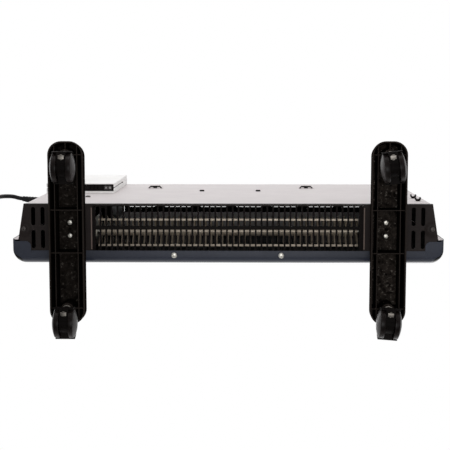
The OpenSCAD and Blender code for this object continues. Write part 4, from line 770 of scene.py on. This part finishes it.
wires = {
    "diameter": 2.6,
    "routes": [
        [(298.27, 79.1, 135), (289.67, 76, 132), (280.67, 70, 122), (276.67, 66, 100), (274.67, 63, 60),
         (273.67, 62, 26), (269.67, 62, 12), (260, 62, 9)],
        [(247.6, 57, 9), (236.8, 57, 9), (231.8, 58, 20), (229.8, 66, 60), (229.8, 70, 130), (229.8, 68, 190),
         (228, 66, 240), (228, 66, 344.5), (228, 66, 368.5), (228, 66, 374.5)],
        [(247.6, 67, 9), (235.8, 68, 10), (231.8, 72, 20), (232.8, 75, 60), (238.8, 76, 120), (242.8, 72, 180),
         (244.8, 70, 240), (252, 68, 320), (255, 66, 372), (255, 66, 379.6)],
        [(228.7, 41.6, 61), (234.5, 42, 62), (234, 43, 68), (232, 43, 80), (226, 42, 88), (220.9, 41.6, 89)],
        [(220.9, 41.6, 97), (227, 43, 98), (231, 46, 112), (234, 50, 160), (236, 54, 200), (238, 58, 240),
         (218, 58, 344.5), (212, 58, 368.5), (212, 58, 374.5)],
    ],
}
wireTubes = [placed(tube(smooth(route, 5), wires["diameter"] / 2, 12)) for route in wires["routes"]]
addPiece("innerWires", wireTubes, "wire_jacket", stands=["internal_wires"], sharp=60)


# ---- screws

screw = {
    "head": 8.4, "plateHead": 7.0, "rise": 2.4, "shank": 3.8, "long": 8.0, "slit": 0.55, "slitDeep": 1.2,
    "flange": (79.3, 12.3, 0), "foot": ((233.3, 41.5, -2.5), (233.3, 61.5, -2.5)), "plate": (302, 51.4, 1),
    "unit": (224.5, 87.2, 132),
}


def panScrew(at, inward=(0, 0, 1), wide=screw["head"]):
    # shank, flat underside, rim and a lens shaped head, with a cross sunk where either side distance is small
    rim, turn = wide / 2, np.linspace(0, 2 * np.pi, 48, endpoint=False)
    shank, long, rise = screw["shank"] / 2, screw["long"], screw["rise"]
    r = np.array([0, shank * 0.55, shank, shank, rim - 0.25, rim, rim, *(rim * np.linspace(0.97, 0, 16))])
    high = -rise * (0.42 + 0.58 * np.sqrt(np.clip(1 - (r / rim) ** 2.4, 0, 1)))
    high[:7] = [long, long, long - 1, 0, 0, -0.25, -rise * 0.36]
    x, y = r[:, None] * np.cos(turn), r[:, None] * np.sin(turn)
    near = np.minimum(np.abs(x), np.abs(y))
    arm = np.maximum(np.abs(x), np.abs(y))
    sunk = eased((screw["slit"] + 0.15 - near) / 0.3) * eased((rim * 0.6 - arm) / 0.35)
    sunk[:7] = 0
    z = (high[:, None] + screw["slitDeep"] * sunk)[..., None]
    inward = unit(inward)
    side = unit(np.cross(inward, (0.3, 0.95, 0.1)))
    points = np.asarray(at) + x[..., None] * side + y[..., None] * np.cross(inward, side) + z * inward
    return placed(surface(points, wrapCols=True))


def bothSides(at):
    # the place on the left and on the right
    return [np.array(at) * (side, 1, 1) for side in (-1, 1)]


zincAt = [at for spot in (screw["flange"], *screw["foot"]) for at in bothSides(spot)]
addPiece("zincScrews", [panScrew(at) for at in zincAt], "zinc", stands=["zinc_screws"])
addPiece("plateScrews", [panScrew(at, wide=screw["plateHead"]) for at in bothSides(screw["plate"])],
         "black_steel", stands=["plate_screws"])
addPiece("unitScrew", [panScrew(screw["unit"], (0, -1, 0))], "black_steel", stands=["unit_screw"])
bush = {"at": (47.3, 87.2, 245.0), "bore": 2.75, "neck": 3.55, "head": 4.05, "inside": -2.0, "outside": 2.3}


def wallBush(at):
    # a ring with a neck through the rear panel, a rounded head behind it and an open bore
    bore, neck, head, low, top = (bush[key] for key in ("bore", "neck", "head", "inside", "outside"))
    profile = [(bore, low + 0.2), (bore + 0.2, low), (neck - 0.2, low), (neck, low + 0.2), (neck, 0),
               (head - 0.1, 0), (head, 0.1), (head, top - 0.7), (head - 0.2, top - 0.25), (head - 0.6, top),
               (bore + 0.3, top), (bore, top - 0.3)]
    return placed(lathe(profile, at, (0, 1, 0), hollow=True))


addPiece("wallBushes", [wallBush(at) for at in bothSides(bush["at"])], "black_plastic",
         stands=["wall_bushes"])
print("screws made")


# ---- feet

foot = {
    "x": 233.3, "y": 47.2, "wide": 51.5, "long": 267.0, "draft": 2.7, "lean": 4.0, "deep": 39.0, "corner": 20.0,
    "wall": 2.5, "floor": 2.5, "rib": 1.8, "ribX": 16.5, "ribLow": 3.0, "bay": 62.6, "screws": 4.3,
    "stem": 112.0, "stemBack": 2.2, "ribBehind": 1.5, "boss": 9.5, "bore": 4.05, "inBoss": 7.0, "stemIn": 28.0,
    "pad": (20.6, -27.2, 38.8),
}


def footOutline(z, inset):
    # the outline at the depth z, narrower towards the top, drawn in by inset
    f = foot
    wide = f["wide"] - 2 * f["draft"] * (z + f["deep"]) / f["deep"]
    return roundRect(wide - 2 * inset, f["long"] - 2 * inset, max(f["corner"] - inset, 2), 10)


def leaned(part):
    # both end walls lean forwards on their way up from the rim
    corners, faces = part
    share = corners[:, 2:] / foot["deep"] + 0.5
    return corners - np.array([0, foot["lean"], 0]) * share, faces


def footShell():
    # from the pocket's floor down its wall, over the rounded rim and up the outside to the top
    w, rim, floor = foot["wall"], -foot["deep"], -foot["floor"]
    rows = [(floor, w + 1.6), (floor - 0.12, w + 0.9), (floor - 0.5, w + 0.35), (floor - 1.3, w), (-12, w),
            (-24, w), (rim + 0.9, w - 0.1), (rim + 0.3, w - 0.35), (rim, w - 0.9), (rim, 1.0), (rim + 0.25, 0.4),
            (rim + 0.9, 0), (-24, 0), (-12, 0), (-0.9, 0), (-0.25, 0.25), (0, 0.9)]
    return stacked([footOutline(z, inset) for z, inset in rows], [z for z, _ in rows])


def footRib(reach, middle, along):
    # an upright wall whose ends follow the foot's own walls and whose lower edge is rounded
    half, low = foot["rib"] / 2, foot["ribLow"] - foot["deep"]
    levels = (low, low + 0.2, low + 0.8, low / 2, 0.2 - foot["floor"])
    outlines = []
    for z, inset in zip(levels, (half * 0.7, half * 0.3, 0.1, 0, -0.15)):
        near, far = reach(z)
        thin = half - inset
        ends = np.array([(far, thin), (near, thin), (near, -thin), (far, -thin)])
        outlines.append((ends if along == "x" else ends[:, ::-1]) + middle)
    return stacked(outlines, levels)


def addFoot(name, node, side):
    f = foot
    stems = [f["stemBack"] + s * f["stem"] for s in (-1, 1)]

    def across(z):
        half = footOutline(z, f["wall"] / 2)[:, 0].max()
        return -half, half

    def lengthways(z):
        # where the end's curve stands at the rib's distance from the middle
        line = footOutline(z, f["wall"] / 2)
        quarter = line[(line > 0).all(1)]
        end = np.interp(f["ribX"], quarter[::-1, 0], quarter[::-1, 1])
        return -end, end

    def beside(sign):
        # from inside the boss's wall to a side wall
        return lambda z: sorted((sign * f["inBoss"], across(z)[sign > 0]))

    def tip(sign):
        # from inside the boss's wall to an end wall
        end = sign * (f["long"] - f["wall"]) / 2
        return lambda _: sorted((stems[sign > 0] + sign * f["inBoss"], end))

    parts = [leaned(footShell())]
    parts += [leaned(footRib(lengthways, (s * f["ribX"], 0), "y")) for s in (-1, 1)]
    parts += [footRib(across, (0, f["screws"] + s * f["bay"] / 2), "x") for s in (-1, 1)]
    parts += [footRib(beside(s), (0, y + f["ribBehind"]), "x") for y in stems for s in (-1, 1)]
    parts += [leaned(footRib(tip(sign), (0, 0), "y")) for sign in (-1, 1)]
    bore, boss, rim, top = f["bore"], f["boss"], -f["deep"], 0.2 - f["floor"]
    profile = [(bore, rim + f["stemIn"]), (bore, rim + 0.6), (bore + 0.5, rim), (boss - 0.5, rim),
               (boss, rim + 0.5), (boss + 0.3, top - 1.9), (boss + 0.8, top - 0.7), (boss + 1.8, top)]
    parts += [lathe(profile, (0, y, 0), (0, 0, 1)) for y in stems]
    pin = [(0, top - 5.2), (1.5, top - 5.2), (1.8, top - 4.9), (1.9, top), (0, top)]
    parts.append(lathe(pin, (0, f["screws"], 0), (0, 0, 1), 24))
    half, front, rear = f["pad"]
    parts.append(block((-half, front, -1.0), (half, rear, 1.0), 0.3))
    at = (side * f["x"], f["y"], 0)
    addPiece(name, [placed(part, at) for part in parts], "black_plastic", stands=[node], look=footPaint)


addFoot("footLeft", "foot_left", -1)
addFoot("footRight", "foot_right", 1)
print("feet made")


# ---- castors

castor = {  # places: x, y, turn in degrees and the side of the inner wheel
    "places": {"fl": (-233.3, -62.6, 4.5, 1), "fr": (233.3, -62.6, 0, -1),
               "rl": (-233.3, 161.4, -7, 1), "rr": (233.3, 161.4, 0, -1)},
    "radius": 21.0, "trail": 15.4, "inner": 6.9, "tread": 6.6, "half": 18.1, "axle": 2.55, "axleEnd": 14.1,
    "hub": 5.5, "tyre": 18.0, "web": 3.9, "rim": 45.0, "stem": 4.0, "stemIn": 28.0, "gap": 0.05,
    "collar": 6.3, "collarWide": 7.3, "collarHigh": 4.9, "end": (8.7, 5.8), "endLow": 7.4, "endHigh": 3.9,
}


def castorWheel(side):
    # hub, hollow, inner rim, tread with two fine grooves, and a domed outer face that is part of a sphere
    c = castor
    r, inner, axle, hub, tyre = (c[key] for key in ("radius", "inner", "axle", "hub", "tyre"))
    outer, web = inner + c["tread"], inner + c["web"]
    rise = c["half"] - outer
    sphere = (r * r + rise * rise) / (2 * rise)
    dome = np.array([20.2, 19, 17.4, 15.4, 13.2, 11, 9.2, 8.4, 8.15, 7.85, 7.6, 6, 4, 2, 0])
    lift = c["half"] - sphere + np.sqrt(sphere ** 2 - dome ** 2)
    lift[(dome < 8.3) & (dome > 7.7)] -= 0.3
    profile = [(0, c["axleEnd"]), (axle, c["axleEnd"]), (axle, inner + 0.3), (axle + 0.3, inner),
               (hub - 0.3, inner), (hub, inner + 0.3), (hub, web), (tyre, web), (tyre, inner + 0.3),
               (tyre + 0.3, inner), (r - 0.6, inner), (r - 0.15, inner + 0.2), (r, inner + 0.65), (r, inner + 2.2),
               (r - 0.22, inner + 2.35), (r - 0.22, inner + 2.55), (r, inner + 2.7), (r, outer - 0.7),
               (r - 0.12, outer - 0.25), (r - 0.35, outer), *zip(dome, lift)]
    return lathe(profile, (0, -c["trail"], r), (side, 0, 0), 72)


def castorStem():
    # a pin with a wide collar just under the foot, a domed top and a flattened lower end
    c = castor
    stem, wide, collar = c["stem"], c["collarWide"], c["collar"]
    low, rim, top = c["endLow"] + c["endHigh"], c["rim"] - c["gap"], c["rim"] + c["stemIn"] - c["gap"]
    under = c["rim"] - c["collarHigh"]
    profile = [(0, low), (stem, low), (stem, under - 0.4), (wide - 0.4, under - 0.1), (wide, under + 0.3),
               (wide, under + 1.1), (collar, under + 1.6), (collar, rim - 0.35), (collar - 0.35, rim), (stem, rim),
               (stem, top - 1.2), (stem - 1.2, top), (0, top)]
    x, y = np.array(c["end"]) / 2
    return [lathe(profile, (0, 0, 0), (0, 0, 1)), block((-x, -y, c["endLow"]), (x, y, low + 0.6), 0.5)]


for mark, (x, y, turn, inward) in castor["places"].items():
    stand, carrier = (x, y, -bodyLift), "castor_" + mark
    softened("castorBody_" + mark, carrier + "_body", 0.35, "black_plastic", carrier)
    addPiece("castorStem_" + mark, [placed(part, stand, turn) for part in castorStem()], "zinc", carrier,
             [carrier + "_stem"], look=stemSteel)
    for place, side in (("in", inward), ("out", -inward)):
        wheel = carrier + "_wheel_" + place
        shape = placed(castorWheel(side), stand, turn)
        addPiece("wheel_" + mark + "_" + place, [shape], "wheel_plastic", wheel, [wheel])
print("castors made")


# ---- controls

dial = {
    "at": (218.0, 62.6), "base": 401.0, "wide": 18.0, "grip": 15.5, "high": 15.0, "bore": 3.02, "boreDeep": 12.0,
    "grips": 24, "gripDeep": 0.8, "top": 400.0, "markHigh": 0.12, "turn": 270, "numbers": 6, "numberAt": 21.0,
    "numberHigh": 2.8, "dotAt": 19.6, "dotWide": 0.4, "pointer": (0.6, 6.2, 12.2), "mains": (201.0, 96.55, 198.6),
    "bars": ((255.6, 79.6, 256.4, 82.6), (254.4, 43.0, 255.2, 46.0), (256.8, 43.0, 257.6, 46.0)),
    "lamp": (279, 62.6),
}


def knobShape():
    # a lathe shape whose side sinks in where a wave with one dip for each grip is lowest
    d = dial
    base, top, bore, wide, grip = d["base"], d["base"] + d["high"], d["bore"], d["wide"], d["grip"]
    profile = np.array([  # radius, height and how much of the dips is there
        (bore, base + d["boreDeep"], 0), (bore, base + 0.4, 0), (bore + 0.4, base, 0), (wide - 0.5, base, 0),
        (wide, base + 0.5, 0), (wide, base + 2.4, 0), (wide - 0.5, base + 2.9, 0), (grip + 0.9, base + 3.2, 0),
        (grip + 0.2, base + 4, 0.2), (grip, base + 5, 1), (grip - 0.15, base + 9, 1), (grip - 0.3, top - 1.4, 1),
        (grip - 0.6, top - 0.5, 0.8), (grip - 1.3, top, 0.2), (grip - 2.1, top - 0.1, 0),
        (grip - 2.7, top - 0.5, 0), (6, top - 0.6, 0), (0, top - 0.6, 0)])
    turn = np.linspace(0, 2 * np.pi, d["grips"] * 10, endpoint=False)
    dip = np.clip(-np.cos(d["grips"] * turn), 0, 1) ** 1.5
    r = profile[:, :1] - d["gripDeep"] * profile[:, 2:] * dip
    points = np.stack([r * np.cos(turn), r * np.sin(turn), np.broadcast_to(profile[:, 1:2], r.shape)], -1)
    return surface(points + (*d["at"], 0), wrapCols=True, capFirst=True)


def lettered(word, high, at):
    # flat figures as a mesh, in millimetres, with their middle at the place
    text = bpy.data.curves.new("figure", "FONT")
    text.body, text.size, text.extrude = word, high * 1.4, dial["markHigh"] / 2
    text.align_x, text.align_y = "CENTER", "CENTER"
    text.resolution_u = 6
    holder = bpy.data.objects.new("figure", text)
    bpy.context.scene.collection.objects.link(holder)
    mesh = bpy.data.meshes.new_from_object(holder)
    corners = np.zeros(len(mesh.vertices) * 3)
    mesh.vertices.foreach_get("co", corners)
    faces = [list(face.vertices) for face in mesh.polygons]
    bpy.data.objects.remove(holder)
    bpy.data.curves.remove(text)
    bpy.data.meshes.remove(mesh)
    return placed((corners.reshape(-1, 3), faces), at)


def addDial():
    d = dial
    x, y = d["at"]
    low, high = d["top"] - 0.05, d["top"] + d["markHigh"]
    dot = [(0, low), (d["dotWide"], low), (d["dotWide"], high), (0, high)]

    def onScale(reach, step, z):
        # a place on the scale
        angle = math.radians(d["turn"] / d["numbers"] * step)
        return x + reach * math.sin(angle), y + reach * math.cos(angle), z

    marks = []
    for k in range(d["numbers"] + 1):
        marks.append(lettered(str(k), d["numberHigh"], onScale(d["numberAt"], k, d["top"] + 0.07)))
        if k < d["numbers"]:
            marks.append(placed(lathe(dot, onScale(d["dotAt"], k + 0.5, 0), (0, 0, 1), 12)))
    marks += [placed(block((x0, y0, low), (x1, y1, high), 0.05, 2)) for x0, y0, x1, y1 in d["bars"]]
    addPiece("dialMarks", marks, "pale_plastic", sharp=30)
    addPiece("knobCap", [placed(knobShape())], "knob_plastic", "knob", ["thermostat_knob"], 30)
    top, (half, near, far) = d["base"] + d["high"], d["pointer"]
    pointer = block((x - half, y + near, top - 1.2), (x + half, y + far, top - 0.35), 0.25, 2)
    addPiece("knobPointer", [placed(pointer)], "pale_plastic", "knob")


def ring(at, radius, thick):
    # a torus: a small circle carried round a large one
    around = np.linspace(0, 2 * np.pi, 32, endpoint=False)[:, None]
    across = np.linspace(0, 2 * np.pi, 8, endpoint=False)
    reach = radius + thick * np.cos(across)
    points = np.stack([reach * np.cos(around), reach * np.sin(around), thick * np.sin(across) + 0 * around], -1)
    return surface(points + at, wrapRows=True, wrapCols=True)


addDial()
softened("heatRocker", "heat_rocker", 0.3, "knob_plastic", "heat_rocker")
softened("powerRocker", "power_rocker", 0.3, "pale_plastic", "power_rocker", rockerPaint)
x, y, low = dial["mains"]
onMark = block((x + 2.5, y - 1.5, low - 0.1), (x + 3.1, y + 1.5, low + 0.3), 0.08, 2)
offMark = ring((x - 3.7, y, low + 0.92), 1.35, 0.2)
addPiece("rockerMarks", [placed(onMark), placed(offMark)], "pale_plastic", "power_rocker")
profile = [(0, -15), (3.3, -15), (3.5, -14.8), (3.5, 0), (3.45, 0.35), (3.1, 0.8), (2.5, 1.1), (1.4, 1.32),
           (0, 1.4)]
lens = lathe(profile, (*dial["lamp"], dial["top"]), (0, 0, 1), 40)
addPiece("lampLens", [placed(lens)], "lens", stands=["lamp_lens"])
print("controls made")
